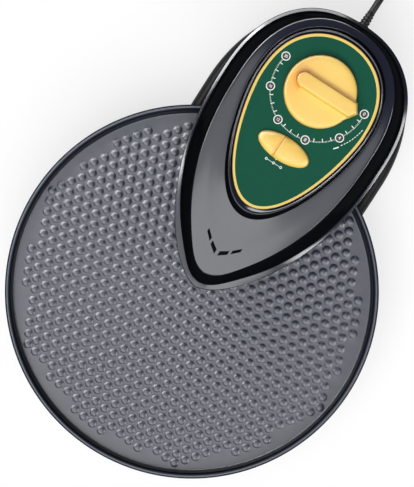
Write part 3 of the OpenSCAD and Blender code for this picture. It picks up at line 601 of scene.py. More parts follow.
cut_away(housing, add_piece("vents", *vent_cutter(), "housing", smooth=False))
cover(gloss_black, housing)
print("housing faces:", len(housing.data.polygons))

# %% [markdown]
# ## The base
#
# The base is a shallow tub under the pan, with a soft shoulder all round. It is a loft like
# the housing, up the outside and down the inside. Its top has an opening over the lower
# heater, which is one more outline in the chain, and a round hole for the shaft, which is cut.

# %% Base
def circle(radius, z, n=96, middle=(0.0, 0.0)):
    """A level ring of n points."""
    angle = 2 * np.pi * np.arange(n) / n
    return np.stack([middle[0] + radius * np.cos(angle), middle[1] + radius * np.sin(angle),
                     np.full(n, float(z))], axis=1)


BASE = [-95, 185, 299, 100, 2.6, 0.5, 2, 0.38, 0]
WELL = [36, 128, 176, 57, 2.2, 0.6, 2.6, 0.45, 0]
Z_BASE, Z_TOP = 6.0, 50.0
SHAFT_HOLE_R = 9.5
edge_of_well = inset(WELL, -0.4)
base_levels = [
    (inset(BASE, 3), Z_BASE, 0, 0.4), (inset(BASE, 0.8), Z_BASE + 3, 0, 1.5),
    (BASE, Z_BASE + 9, 0, 3), (BASE, Z_TOP - 12, 0, 3), (inset(BASE, 1.2), Z_TOP - 6, 0, 2.5),
    (inset(BASE, 3.6), Z_TOP - 1.8, 0, 1.8), (inset(BASE, 7), Z_TOP, 0, 1.8),
    (edge_of_well, Z_TOP, 0, 0.3), (edge_of_well, Z_TOP - WALL, 0, 0.3),
    (inset(BASE, 8), Z_TOP - WALL, 0, 1), (inset(BASE, WALL + 2.2), Z_TOP - 7, 0, 1),
    (inset(BASE, WALL), Z_TOP - 13, 0, 1), (inset(BASE, WALL), Z_BASE + 9, 0, 1),
    (inset(BASE, WALL + 3), Z_BASE, 0, 0.3)]
base = add_piece("base_tub", *skin(shell_rings(base_levels, 256), closed=True), "housing",
                 stands_for=("base_shell",), slot="gloss_black")
shaft_hole = skin([circle(SHAFT_HOLE_R, z, 48) for z in (44, 56)], caps=(True, True))
cut_away(base, add_piece("shaft_hole", *shaft_hole, "housing"))
print("base faces:", len(base.data.polygons))

# %% [markdown]
# ## The tower
#
# The tower stands on the rear of the base and carries the housing. From above it is hidden,
# but from the side it is what joins the two. Three outlines with nearly square fronts give it
# a wide foot, a narrower waist and a head, and the same loft runs through them.

# %% Tower
FOOT = [184, 208, 288, 80, 3, 0.36, 2.2, 0.42, 0]
WAIST = [184, 208, 276, 72, 3, 0.36, 2.2, 0.42, 0]
HEAD = [184, 208, 293, 81, 3, 0.36, 2.2, 0.42, 0]
NECK = mix(WAIST, HEAD, 0.6)
Z_WAIST, Z_NECK, Z_CHASSIS = (73.8, 90.8), 108.5, 119.0
tower_levels = [
    (FOOT, Z_TOP, 0, 0), (FOOT, Z_TOP + 3, 0, 1.5), (mix(FOOT, WAIST, 0.7), Z_TOP + 9, 0, 4),
    (WAIST, Z_WAIST[0], 0, 8), (WAIST, Z_WAIST[1], 0, 8), (NECK, Z_NECK, 0, 4),
    (HEAD, Z_SKIRT - 2, 0, 2), (HEAD, Z_CHASSIS, 0, 0.3), (inset(HEAD, WALL), Z_CHASSIS, 0, 0.3),
    (inset(NECK, WALL), Z_NECK, 0, 2), (inset(WAIST, WALL), Z_WAIST[1], 0, 4),
    (inset(WAIST, WALL), Z_WAIST[0], 0, 4), (inset(FOOT, WALL + 1), Z_TOP + WALL, 0, 0)]
tower = add_piece("tower", *skin(shell_rings(tower_levels, 224, closed=False),
                                 caps=(True, True)),
                  "housing", stands_for=("tower_shell",), slot="gloss_black")
cover(base_black, base, tower)

# %% [markdown]
# ## Where the dimples lie
#
# The photograph shows round dimples of about nine millimetres wherever the pan's floor is in
# view, and their places fit one triangular pattern, so the pattern goes on over the hidden
# part. Six small points of three dimples reach beyond the circle that holds the rest.

# %% Dimple places
PITCH = 10.86
PATTERN_TURN = math.radians(-36.2)
PATTERN_R, POINT_R, NEAR_R = 161.2, 170, 160.5
POINT_ANGLES, POINT_WIDTH = (26.6, -26.6), 4.2


def dimple_places():
    """Rows of a triangular pattern, with six small points of three beyond its circle."""
    places = []
    for k in range(-19, 20):
        for j in range(-20, 21):
            across, along = k * math.sqrt(0.75) * PITCH, (j + (k % 2) / 2) * PITCH
            r, turn = math.hypot(across, along), math.degrees(math.atan2(along, across))
            point = min(abs((turn - p + 60) % 120 - 60) for p in POINT_ANGLES) < POINT_WIDTH
            if r < PATTERN_R or (r < POINT_R and point):
                near = r if r < NEAR_R else NEAR_R + (r - NEAR_R) * 0.75
                angle = PATTERN_TURN + math.radians(turn)
                places.append((near * math.cos(angle), near * math.sin(angle)))
    return np.array(places)


dimples = dimple_places()
print("dimples:", len(dimples))

# %% [markdown]
# ## The pan's floor
#
# The floor is truly flat between the dimples, which a displaced grid would not be. So one flat
# mesh is triangulated round all the dimple rims at once, the triangles inside the rims are
# dropped, and each rim is filled with a small dome. The underside gets the same domes from
# below, one sheet thickness lower, with fewer sides.

# %% Pan floor
FLOOR_Z, SHEET, FLOOR_R = 60.8, 1.2, 171.15
RIM_SIDES = 288
TOP_DOME = [(4.75, 0), (4.4, 0.03), (3.95, 0.32), (3.2, 0.78), (2.0, 1.14), (0.9, 1.27)]
UNDER_DOME = [(4.3, 0), (3.7, 0.3), (2.4, 0.95), (1.0, 1.22)]
CROWN_RISE = 0.04


def dimpled_floor(z, sides, dome):
    """A flat disc with a dome in each dimple. A dome is (radius, height) from rim to crown."""
    angle = 2 * np.pi * np.arange(sides) / sides
    unit = np.stack([np.cos(angle), np.sin(angle)], axis=1)
    collar = dome[0][0]
    flat = np.vstack([circle(FLOOR_R, 0, RIM_SIDES)[:, :2],
                      *[place + collar * unit for place in dimples]])
    found, _, triangles, *_ = geometry.delaunay_2d_cdt(
        [Vector(p) for p in flat], [], [], 0, 1e-5, False)
    middles = np.array([np.mean([found[i] for i in t], axis=0) for t in triangles])
    apart = np.min(np.linalg.norm(middles[:, None, :] - dimples[None], axis=2), axis=1)
    limit = collar * math.cos(math.pi / sides) - 1e-3
    parts = [([(p[0], p[1], z) for p in found],
              [t for t, gap in zip(triangles, apart) if gap > limit])]
    for place in dimples:
        rings = [np.column_stack([place + r * unit, np.full(sides, z + h)]) for r, h in dome]
        points, faces = skin(rings, caps=(False, True))
        points[-1] = (*place, z + dome[-1][1] + CROWN_RISE)
        parts.append((points, faces))
    return merged(*parts)


top_floor = dimpled_floor(FLOOR_Z + SHEET, 16, TOP_DOME)
under_floor = dimpled_floor(FLOOR_Z, 12, UNDER_DOME)
print("floor faces, top and under:", len(top_floor[1]), len(under_floor[1]))

# %% [markdown]
# ## The pan's rim
#
# The sheet bends up in a small curve, leans out, and rolls over into a lip. The rim is round,
# so its profile is drawn once, as arcs joined by straight runs, and spun into circles. The
# profile goes out along the underside, round the lip, and back along the top of the sheet.

# %% Pan rim
PAN_R, LEAN = 180, 14.0
BEND_R, LIP_R = 3.0, 2.4
lean_out = np.array([math.cos(math.radians(LEAN)), -math.sin(math.radians(LEAN))])
lean_up = np.array([math.sin(math.radians(LEAN)), math.cos(math.radians(LEAN))])
lip_run = BEND_R * lean_out + 9.0 * lean_up + SHEET * lean_out
bend_middle = np.array([PAN_R - LIP_R - lip_run[0], BEND_R])
lip_middle = bend_middle + lip_run


def arc(middle, radius, start, end, steps):
    """Points of a profile along an arc, from one angle to the other."""
    angle = np.radians(np.linspace(start, end, steps + 1))
    return [(middle[0] + radius * math.cos(a), middle[1] + radius * math.sin(a)) for a in angle]


rim_profile = [(FLOOR_R, 0.0), *arc(bend_middle, BEND_R, -90, -LEAN, 8)]
rim_profile += arc(lip_middle, LIP_R - SHEET, 180 - LEAN, -35, 10)
rim_profile += arc(lip_middle, LIP_R, -35, 180 - LEAN, 14)
rim_profile += [*arc(bend_middle, BEND_R - SHEET, -LEAN, -90, 8), (FLOOR_R, SHEET)]
rim = skin([circle(r, FLOOR_Z + z, RIM_SIDES) for r, z in rim_profile])
pan = add_piece("pan_sheet", *merged(top_floor, under_floor, rim), "pan", stands_for=("pan",),
                slot="pan_coating")
print("pan faces:", len(pan.data.polygons))

# %% [markdown]
# ## The pan's coat
#
# Non-stick coating is charcoal, slightly blue, and satin. Under a soft light it shows a fine
# sparkle, faint rubbing on the crowns of the dimples, and slow changes in its sheen. Steep
# faces, and the outer side of the lip, hold less of the clear coat and look darker, which
# draws the thin dark line round the pan. Steep faces also get a darker, more neutral base
# colour, a painted shade.

# %% Non-stick coat
CROWN_Z = ((0.0627, 0.0633), (0.0634, 0.0640))
LIP_Z = (0.0690, 0.0705)
non_stick = Finish("non_stick", (0.014, 0.020, 0.040), 0.5, Specular_IOR_Level=0.0,
                   Coat_Roughness=0.38, Coat_IOR=1.66)
fleck = non_stick.noise(0.35, 2.0)
cloud = non_stick.noise(38.0, 3.0)
height, upward = non_stick.part(2), non_stick.facing(2)
crown = height.between(*CROWN_Z[0]) - height.between(*CROWN_Z[1])
tone = non_stick.mix(cloud, (0.010, 0.016, 0.034), (0.020, 0.027, 0.048))
tone = non_stick.mix(crown * 0.2, tone, (0.06, 0.07, 0.09))
# Painted shade: steep faces get a darker, more neutral base colour.
tone = non_stick.mix(1 - upward.between(0.30, 0.75), tone, (0.011, 0.012, 0.015))
non_stick.set("Base Color", non_stick.mix(fleck.between(0.62, 0.75) * 0.4, tone,
                                          (0.10, 0.11, 0.13)))
non_stick.set("Roughness", 0.45 + cloud * 0.1 + fleck * 0.1)
slope = 1 - upward.between(0.80, 0.96)
lip_side = height.between(*LIP_Z) * (1 - upward.between(0.90, 1.0))
non_stick.set("Coat Weight", (1 - slope * 0.35) * (1 - lip_side * 0.92) - cloud * 0.06)
non_stick.bump(fleck, 0.010)
cover(non_stick, pan)

# %% [markdown]
# ## The panel
#
# The panel is a thin printed sheet that drops into the seat inside the bead. It follows the
# panel's outline, with a slight round at its edge, and it has a round hole for the timer's
# shaft and a slot for the selector's stem.

# %% Panel sheet
KNOB = (0.0, 221.0)
SELECTOR_Y = 159.0
HOLE_R, SLOT_HALF = 5.0, (11.5, 2.4)
CUT_Z = (170, 185)


def disc(middle, radius, z_low, z_high):
    """A flat round block."""
    return skin([circle(radius, z, 32, middle) for z in (z_low, z_high)], caps=(True, True))


sheet_rings = rounded([ring(PANEL, Z_PANEL - 0.5), ring(PANEL, Z_PANEL),
                       ring(inset(PANEL, 4), Z_PANEL)], [0, 0.2, 0])
panel_sheet = add_piece("panel_sheet", *skin(sheet_rings, caps=(True, True)), "housing",
                        stands_for=("panel_face",), slot="panel_green")
slot_rings = [np.array([(x * SLOT_HALF[0], SELECTOR_Y + y * SLOT_HALF[1], z) for x, y in
                        ((-1, -1), (1, -1), (1, 1), (-1, 1))]) for z in CUT_Z]
holes = merged(disc(KNOB, HOLE_R, *CUT_Z), skin(slot_rings, caps=(True, True)))
cut_away(panel_sheet, add_piece("panel_holes", *holes, "housing", smooth=False))
print("panel faces:", len(panel_sheet.data.polygons))

# %% [markdown]
# ## The line round the panel
#
# A yellow line runs round the panel's edge, and a thin brown line outside it is a painted
# shadow, where the bead shades the panel. Each is a very thin raised layer, so the print stays
# sharp at any distance. The line is the gap between two insets of the panel's own outline, so
# it keeps its width all the way round.

# %% Yellow line
def prism(outer, inner, z_low, z_high):
    """A flat shape between an outer ring and an inner one, with a small height."""
    rows = [np.column_stack([r, np.full(len(r), z)])
            for r, z in ((outer, z_low), (outer, z_high), (inner, z_high), (inner, z_low))]
    return skin(rows, closed=True)


def line_round(outer, inner):
    """A thin layer along the panel's edge, between two distances from it: ink, or painted shadow.
    """
    return prism(outline(inset(PANEL, outer)), outline(inset(PANEL, inner)),
                 Z_PANEL - 0.1, Z_PANEL + 0.05)


yellow_line = add_piece("yellow_line", *line_round(0.45, 2.8), "housing", slot="amber",
                        smooth=False)
# Painted shadow: a thin brown line outside the yellow one, where the bead shades the panel.
edge_shadow_line = add_piece("edge_shadow_line", *line_round(0.0, 0.45), "housing", smooth=False)
print("faces in the yellow line:", len(yellow_line.data.polygons))

# %% [markdown]
# ## The dial
#
# The dial has six numbers in white rings. Between two rings run three long strokes, with short
# ones to their sides. All strokes lie on one circle, so two small helpers draw the whole
# dial: one gives a place on the circle, the other lays a straight line of ink.

# %% Dial
DIAL, DIAL_R = (-0.2, 220.4), 45.4
NUMBERS = {"0": 6.8, "4": -33.6, "8": -74.2, "12": -114.3, "16": -154.9, "20": -194.5}
INK = (Z_PANEL - 0.1, Z_PANEL + 0.06)
RING_R, RING_IN, RING_CLEAR = 4.2, 3.35, 6.5


def hoop(middle, outer, inner, n=48):
    """A ring of ink."""
    return prism(circle(outer, 0, n, middle)[:, :2], circle(inner, 0, n, middle)[:, :2], *INK)


def on_dial(angle, radius=DIAL_R):
    """A place on the dial, from its angle and its distance from the middle."""
    a = math.radians(angle)
    return (DIAL[0] + radius * math.cos(a), DIAL[1] + radius * math.sin(a))


def stroke(start, end, width):
    """A straight line of ink."""
    a, b = np.array(start, float), np.array(end, float)
    side = np.array([a[1] - b[1], b[0] - a[0]])
    side *= width / 2 / np.linalg.norm(side)
    return block(np.array([a + side, a - side, b - side, b + side]), *INK)


def dial_ink():
    """Rings for the numbers, and the long and short strokes between them."""
    angles = list(NUMBERS.values())
    parts = [hoop(on_dial(angle), RING_R, RING_IN) for angle in angles]
    for first, last in zip(angles[:-1], angles[1:]):
        step = (last - first) / 4
        for quarter in range(4):
            middle = first + step * quarter
            if quarter:
                parts.append(stroke(on_dial(middle, DIAL_R - 3.0),
                                    on_dial(middle, DIAL_R + 0.6), 0.8))
            for small in range(1, 6):
                angle = middle + step * small / 6
                if min(abs(angle - first), abs(angle - last)) > RING_CLEAR:
                    parts.append(stroke(on_dial(angle, DIAL_R - 0.6),
                                        on_dial(angle, DIAL_R + 0.6), 0.45))
    return parts


dial_parts = dial_ink()
print("rings and strokes on the dial:", len(dial_parts))

# %% [markdown]
# ## The smaller marks
#
# Three dots joined by a line show the places of the selector, and a row of short dashes
# follows the dial on its right. A curved dash is a few straight strokes end to end. All the
# white ink becomes one piece, and black discs fill the rings under the numbers.

# %% Marks
MARKS_Y, MARKS_X = 143.4, (-8.6, -0.8, 7.0)
DASH_ANGLES, DASH_SPAN = np.arange(-35.5, -9, 3.1), 2.0


def arc_ink(radius, start, end, width, n):
    """A curved line of ink about the dial's middle."""
    angles = np.linspace(start, end, n)
    return [stroke(on_dial(a, radius), on_dial(b, radius), width)
            for a, b in zip(angles[:-1], angles[1:])]


selector_marks = [hoop((x, MARKS_Y), 1.25, 0.65, 24) for x in MARKS_X]
selector_marks += [stroke((x + 1.3, MARKS_Y), (x + 6.5, MARKS_Y), 0.4) for x in MARKS_X[:2]]
dashes = arc_ink(DIAL_R + 7.6, -43.5, -38, 1.1, 6)
for start in DASH_ANGLES:
    dashes += arc_ink(DIAL_R + 6.9, start, start + DASH_SPAN, 0.7, 3)
white_ink = add_piece("white_print", *merged(*dial_parts, *dashes, *selector_marks), "housing",
                      smooth=False)
black_discs = [disc(on_dial(angle), 3.4, Z_PANEL - 0.1, Z_PANEL + 0.03)
               for angle in NUMBERS.values()]
black_ink = add_piece("black_print", *merged(*black_discs), "housing", smooth=False)
print("white ink faces:", len(white_ink.data.polygons))

# %% [markdown]
# ## The numbers
#
# Blender's own text objects make the digits, in its built-in font. Each is a curve with a
# hair of thickness, set in the middle of its ring. Two digits are a little smaller than one,
# so that they fit the same ring.

# %% Numbers
DIGIT_SIZE = {1: 4.4, 2: 3.7}
THICKNESS, BOLDER = 4e-5, 0.00002
digits = []
for number, angle in NUMBERS.items():
    text = bpy.data.curves.new("number_" + number, "FONT")
    text.body, text.size, text.extrude = number, DIGIT_SIZE[len(number)] * MM, THICKNESS
    text.align_x, text.align_y = "CENTER", "CENTER"
    text.space_character, text.offset = 0.85, BOLDER
    digit = bpy.data.objects.new("number_" + number, text)
    x, y = on_dial(angle)
    digit.location = (x * MM, (y + SPINDLE_Y) * MM, (Z_PANEL + 0.05) * MM)
    SCENE.objects.link(digit)
    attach(digit, "housing")
    digits.append(digit)
print("numbers on the dial:", [digit.data.body for digit in digits])

# %% [markdown]
# ## Inks
#
# The green ground is a satin ink with a slow mottle, and its mirror is weak, so the green
# stays deep under the lamps. The lines and digits are flat inks that cover slightly unevenly,
# and the brown line outside the yellow one is painted shadow made the same way. One function
# makes all of those, since they differ in nothing but their colour.

# %% Inks
green_ink = Finish("green_ink", (0.009, 0.082, 0.050), 0.3, Specular_IOR_Level=0.03)
mottle = green_ink.noise(6.0, 4.0)
green_ink.set("Base Color", green_ink.mix(mottle, (0.007, 0.078, 0.046), (0.010, 0.088, 0.054)))
green_ink.set("Roughness", 0.26 + green_ink.noise(0.5) * 0.08)
green_ink.bump(green_ink.noise(0.3, 1.0), 0.006)
cover(green_ink, panel_sheet)


def ink_or_painted_shade(name, colour):
    """An ink, or a painted shadow, that covers slightly unevenly."""
    ink = Finish(name, colour, 0.45)
    patches = ink.noise(1.4, 3.0)
    ink.set("Base Color", ink.mix(patches, [c * 0.92 for c in colour],
                                  [min(1.0, c * 1.06) for c in colour]))
    ink.set("Roughness", 0.4 + patches * 0.12)
    return ink


cover(ink_or_painted_shade("yellow_ink", (0.76, 0.56, 0.09)), yellow_line)
# The brown line is painted shadow, made like an ink.
cover(ink_or_painted_shade("edge_shadow_paint", (0.20, 0.07, 0.02)), edge_shadow_line)
cover(ink_or_painted_shade("white_ink", (0.80, 0.84, 0.80)), white_ink, *digits)
cover(ink_or_painted_shade("black_ink", (0.012, 0.014, 0.014)), black_ink)

# %% [markdown]
# ## The timer knob's disc
#
# The knob is one moulding: a low disc with a small beak at its right, and a raised bar across
# it. The disc's plan is a circle whose radius runs out to the beak along straight sides. The
# rings are drawn in as they rise, with a soft round at the edge, and near the round end of
# the bar the face dips a little.

# %% Knob disc
KNOB_R, NOSE, BAR_HALF, BAR_SHIFT = 33.8, 39.4, 7.6, 0.9
SHIFT_FROM, SHIFT_OVER = 29, 10
BEAK_HALF = math.radians(19)
Z_KNOB = Z_PANEL + 1.0
DISC_EDGE = [(1.2, 0.0, 0), (0.5, 0.15, 0), (0.15, 0.8, 0), (0.25, 4.6, 0), (0.45, 5.7, 0),
             (1.1, 6.8, 0), (2.2, 7.5, 0), (3.8, 7.8, 0.2), (7, 7.9, 0.7)]
DISC_FACE = [(d, 7.95, 1) for d in (10, 13, 16, 19, 22, 25, 28, 31)]


def knob_plan(d, n=288):
    """The disc with its beak, drawn in by d."""
    angle = np.radians(np.arange(n) * 360.0 / n)
    corner = np.array([math.cos(BEAK_HALF), math.sin(BEAK_HALF)]) * KNOB_R
    span = np.array([NOSE, 0]) - corner
    radius = np.full(n, KNOB_R)
    turn = np.abs((angle + np.pi) % (2 * np.pi) - np.pi)
    beak = turn < BEAK_HALF
    radius[beak] = (corner[0] * span[1] - corner[1] * span[0]) / (
        np.cos(turn[beak]) * span[1] - np.sin(turn[beak]) * span[0])
    radius = radius - d
    x, y = radius * np.cos(angle), radius * np.sin(angle)
    shift = BAR_SHIFT * np.clip((x - SHIFT_FROM) / SHIFT_OVER, 0, 1)
    return np.stack([x, KNOB[1] + y + shift], axis=1)


def dish(flat):
    """The disc's face dips a little towards the round end of the bar."""
    x, y = flat[:, 0] + 22, flat[:, 1] - KNOB[1]
    return -1.0 * np.exp(-(x**2 + y**2) / 150) - 0.3 * np.exp(-(x**2 + y**2) / 700)


disc_rings = []
for d, z, dip in DISC_EDGE + DISC_FACE:
    flat = knob_plan(d)
    disc_rings.append(np.column_stack([flat, Z_KNOB + z + dip * dish(flat)]))
print("knob rings:", len(disc_rings))

# %% [markdown]
# ## The knob's bar
#
# Fingers turn the knob by its bar, which is round at the left, straight along its sides, and
# pointed at the right, over the beak. A second stack of rings follows the bar's plan. They
# start below the disc's face and draw in as they rise, first at the fillet and then at the
# rounded top, and both stacks together are the knob.

# %% Knob bar
BAR_ROUND_X, SIDE_START = -17.8, -15
BAR_LEVELS = [(-0.9, 5.2), (-0.5, 8.0), (-0.1, 8.7), (0.1, 10), (0.35, 13.6), (0.6, 14.8),
              (1.1, 15.5), (1.9, 15.9), (3.0, 16.0), (5.0, 16.0), (7.0, 16.0)]


def bar_plan(d):
    """Round at the left, straight along the sides, pointed at the right, and drawn in by d."""
    half, start, tip = BAR_HALF - d, 33.7 - 0.53 * d, 38.8 - 1.21 * d
    turn = np.radians(np.linspace(90, 270, 40))
    left = np.stack([BAR_ROUND_X + half * np.cos(turn), half * np.sin(turn)], axis=1)
    run = np.linspace(SIDE_START, start, 24)
    taper = np.linspace(0, 1, 12)[1:]
    low = np.stack([np.append(run, start + taper * (tip - start)),
                    -half * np.append(np.ones(24), 1 - taper)], axis=1)
    return np.vstack([left, low, low[-2::-1] * (1, -1)])


bar_rings = [np.column_stack([bar_plan(d) + (0, KNOB[1] + BAR_SHIFT),
                              np.full(len(bar_plan(d)), Z_KNOB + z)]) for d, z in BAR_LEVELS]
knob = add_piece("knob", *merged(skin(disc_rings, caps=(True, True)),
                                 skin(bar_rings, caps=(True, True))), "timer_dial",
                 stands_for=("timer_knob",), slot="amber")
print("knob faces:", len(knob.data.polygons))

# %% [markdown]
# ## The heat selector
#
# The selector is an oval cap that slides a few millimetres to each side. A finger rests on one
# slope or the other and pushes against a low ridge across the middle, with a small pointer at
# the front edge. The cap is a row of upright slices from its left end to its right. A short
# formula gives the height of each point, and the slices lie closer where the ridge is.

# %% Selector
CAP_LONG, CAP_WIDE, CAP_H = 26.5, 11.5, 5.6
RIDGE_X = -4.9
SLICE_POINTS = 41


def selector_height(x, y):
    """The cap's height over a point: a dome, two finger rests, and the ridge between them."""
    out = np.minimum(1.0, np.hypot(x / CAP_LONG, y / CAP_WIDE))
    dome = CAP_H * (1 - out**2.8) ** 0.5
    ridge = 1 / (1 + np.exp((RIDGE_X - x) / 0.3)) / (1 + np.exp((x - 0.6) / 1.6))
    rest = 0.42 * np.exp(-(((x - RIDGE_X) / 6.0) ** 2)) + 0.24 * np.exp(-(((x - 6) / 7.0) ** 2))
    return dome * (1 - rest * (1 - ridge)) + 0.8 * ridge * (1 - out**6)


def selector_slices():
    """Slices from the left end to the right, closer together at the ridge."""
    stations = CAP_LONG * np.sin(np.radians(np.linspace(-89, 89, 80)))
    stations = np.unique(np.concatenate([stations, np.linspace(RIDGE_X - 3, 4, 60)]))
    slices = []
    for x in stations:
        half = CAP_WIDE * math.sqrt(1 - (x / CAP_LONG) ** 2)
        y = half * np.sin(np.radians(np.linspace(-90, 90, SLICE_POINTS)))
        top = np.stack([np.full(SLICE_POINTS, x), y, 0.9 + selector_height(x, y)], axis=1)
        under = np.array([(x, w * half * 0.98, 0.0) for w in np.linspace(1, -1, 7)])
        slices.append(np.vstack([top, under]) + (0, SELECTOR_Y, Z_PANEL + 0.6))
    return slices


pointer = np.array([(-2.2, 148.2), (-0.6, 146.4), (1.0, 148.2)])
pointer_rings = [np.column_stack([pointer, np.full(3, Z_PANEL + z)]) for z in (0.7, 2.0)]
selector = add_piece("selector", *merged(skin(selector_slices(), caps=(True, True)),
                                         skin(pointer_rings, caps=(True, True))), "selector",
                     stands_for=("selector_cap",), slot="amber")
print("selector faces:", len(selector.data.polygons))

# %% [markdown]
# ## Amber plastic
#
# The knob and the cap are a warm amber plastic that lets a little light in, so it gets a weak
# subsurface share. Where the bar meets the disc, its shade is painted into the colour as a
# deeper orange. That painted shade is placed by a field that holds the distance from the bar's
# middle line, and soft steps of it mark the foot of the bar, strongest round its left end and
# its rear side. A softer painted shade deepens the disc to the left of the bar.

# %% Amber knob
# Orange of the painted shade at the foot of the bar and in the selector's groove.
SHADE_ORANGE = (0.74, 0.29, 0.02)


def amber_plastic(name):
    """The finish and its light colour, to be mixed with painted shade in the corners."""
    amber = Finish(name, (0.88, 0.58, 0.11), 0.38, Subsurface_Weight=0.06,
                   Subsurface_Scale=0.004, Subsurface_Radius=(1.0, 0.5, 0.15))
    flow = amber.noise(14.0, 2.0)
    amber.set("Roughness", 0.34 + amber.noise(0.6, 2.0) * 0.12)
    amber.bump(amber.noise(0.45, 2.0), 0.008)
    return amber, amber.mix(flow, (0.86, 0.55, 0.10), (0.91, 0.62, 0.13))


knob_amber, light = amber_plastic("knob_amber")
x = knob_amber.part(0)
y = knob_amber.part(1) - (KNOB[1] + BAR_SHIFT + SPINDLE_Y) * MM
left = 1 - x.between(-0.0185, -0.0170)
beyond = (x - BAR_ROUND_X * MM) * left
off_bar = (beyond * beyond + y * y) ** 0.5
# Painted shade: a deeper orange round the foot of the bar, and a softer one to its left.
near = off_bar.between(0.0066, 0.0080) * (1 - off_bar.between(0.0084, 0.0125))
rear_side = y.between(-0.002, 0.006) * (1 - x.between(0.024, 0.034))
left_shade = (1 - x.between(-0.038, 0.004)) * (1 - off_bar.between(0.012, 0.030)) * 0.35
painted_shade = near * (left * 0.55 + rear_side * 0.45).between(0.0, 0.85)
knob_amber.set("Base Color", knob_amber.mix(painted_shade + left_shade * (1 - painted_shade), light, SHADE_ORANGE))
cover(knob_amber, knob)

# %% [markdown]
# ## The selector's finish
#
# The cap is the same plastic. Its one painted shade is in the groove at the left foot of the
# ridge, a narrow band across the cap, so two soft steps of the left-right place are enough.

# %% Amber cap
cap_amber, light = amber_plastic("cap_amber")
x = cap_amber.part(0)
foot = RIDGE_X * MM
# Painted shade: a deeper orange band in the groove at the left foot of the ridge.
groove_shade = x.between(foot - 0.0035, foot - 0.0004) * (1 - x.between(foot + 0.0002, foot + 0.0012))
cap_amber.set("Base Color", cap_amber.mix(groove_shade * 0.6, light, SHADE_ORANGE))
cover(cap_amber, selector)

# %% [markdown]
# ## The heating elements
#
# Under the housing, a dark sheathed element bends round in a teardrop loop, and the same one
# lies under the pan. The model's elements have flat sides, so they are swept afresh as round
# tubes along the same line. Their sheath is dark oxidised metal with a scaly colour.

# %% Elements
LOOP = [51, 128, 162, 42, 2.2, 0.6, 2.2, 0.5]
LEG_X, LEG_YS = 16, (190, 184, 178)
ELEMENT_R = 3.2


def element_line(z):
    """In along one leg, round the loop, and out along the other leg."""
    loop = []
    for a in np.arange(66, -247, -6):
        c, s = math.cos(math.radians(a)), math.sin(math.radians(a))
        end, power, root = (LOOP[0], LOOP[4], LOOP[5]) if s < 0 else (LOOP[2], LOOP[6], LOOP[7])
        loop.append((math.copysign(LOOP[3] * abs(c) ** (2 * root), c),
                     LOOP[1] + (end - LOOP[1]) * abs(s) ** (2 / power), z))
    line = [(LEG_X, y, z) for y in LEG_YS] + loop + [(-LEG_X, y, z) for y in LEG_YS[::-1]]
    return smooth_line(line, 3)


elements = [add_piece(name, *skin(tube_rings(element_line(z), ELEMENT_R, 16), caps=(True, True)),
                      "housing", stands_for=(node,), slot="element_sheath")
            for name, node, z in (("upper_heater", "upper_element", 128.0),
                                  ("lower_heater", "lower_element", 41.0))]

sheath = Finish("element_sheath", (0.13, 0.125, 0.12), 0.5, Metallic=0.6)
scale = sheath.noise(5.0, 4.0)
sheath.set("Base Color", sheath.mix(scale, (0.09, 0.085, 0.08), (0.21, 0.19, 0.17)))
sheath.set("Roughness", 0.42 + scale * 0.25)
sheath.bump(sheath.noise(0.7, 3.0), 0.03)
cover(sheath, *elements)

# %% [markdown]
# ## Trays, screws and other metal
#
# A bright tray behind each element throws its heat towards the pan, and wires keep fingers
# off. These parts keep the model's mesh. Rolled sheet has fine lines in one direction, so the
# noise that moves its roughness is stretched along that direction, and plated parts have a
# finer, even skin. The upper tray's upward back is painted near black, a painted shade that
# keeps the vents over it dark.

# %% Sheet metal and plated parts
def brushed(name, colour, roughness, along=(1.0, 0.05, 1.0), depth=0.006):
    """Bare metal with fine lines, stained here and there."""
    metal = Finish(name, colour, roughness, Metallic=1.0)
    streak = metal.noise(0.5, 3.0, along)
    stain = metal.noise(16.0, 3.0)
    metal.set("Base Color", metal.mix(stain, [c * 0.86 for c in colour], colour))
    metal.set("Roughness", roughness - 0.06 + streak * 0.12 + stain * 0.08)
    metal.bump(streak, depth)
    return metal


tray = brushed("bright_tray", (0.66, 0.66, 0.67), 0.30)
plate = brushed("zinc_plate", (0.52, 0.53, 0.55), 0.38, (1.0, 1.0, 1.0))
wire = brushed("plated_wire", (0.72, 0.72, 0.74), 0.20, (0.1, 1.0, 1.0), 0.003)
brass = brushed("brass", (0.72, 0.57, 0.28), 0.30)
tray_painted_back = brushed("tray_painted_shade", (0.66, 0.66, 0.67), 0.34)
# Painted shade: the upward back of the tray turns near black, so the vents over it look dark.
back = tray_painted_back.facing(2).between(0.10, 0.50)
tray_painted_back.set("Base Color", tray_painted_back.mix(back, (0.62, 0.62, 0.63), (0.015, 0.015, 0.016)))
cover(tray, "lower_reflector")
cover(tray_painted_back, "upper_reflector")
cover(plate, "chassis_plate", "gearmotor", "motor_bracket", "thermal_fuse", "pan_drive_ring")
cover(wire, "heat_guard", "motor_shaft", "timer_shaft", "bottom_screws", "motor_screws",
      "tower_screws", "cover_screws")
cover(brass, "timer_bell", "plug_blades")

# %% [markdown]
# ## Plastic, rubber, ceramic and sleeve
#
# What is left keeps the model's mesh too. The feet are rubber, the small mouldings are satin
# black, and the posts that carry the elements are white steatite, a dense ceramic with fine
# pores. The inner wires wear a sleeve of braided glass, drawn by a noise stretched across it.

# %% Small parts
cover(rubber, "rubber_feet")
cover(satin_black, "bottom_cover", "drive_hub", "panel_plate", "timer", "selector_switch",
      "selector_stem", "limit_thermostat")

steatite = Finish("steatite", (0.80, 0.78, 0.72), 0.55)
pores = steatite.noise(0.6, 3.0)
steatite.set("Base Color", steatite.mix(pores, (0.72, 0.70, 0.64), (0.85, 0.83, 0.78)))
steatite.bump(pores, 0.03)
cover(steatite, "lower_element_posts", "upper_element_posts", "terminal_block")

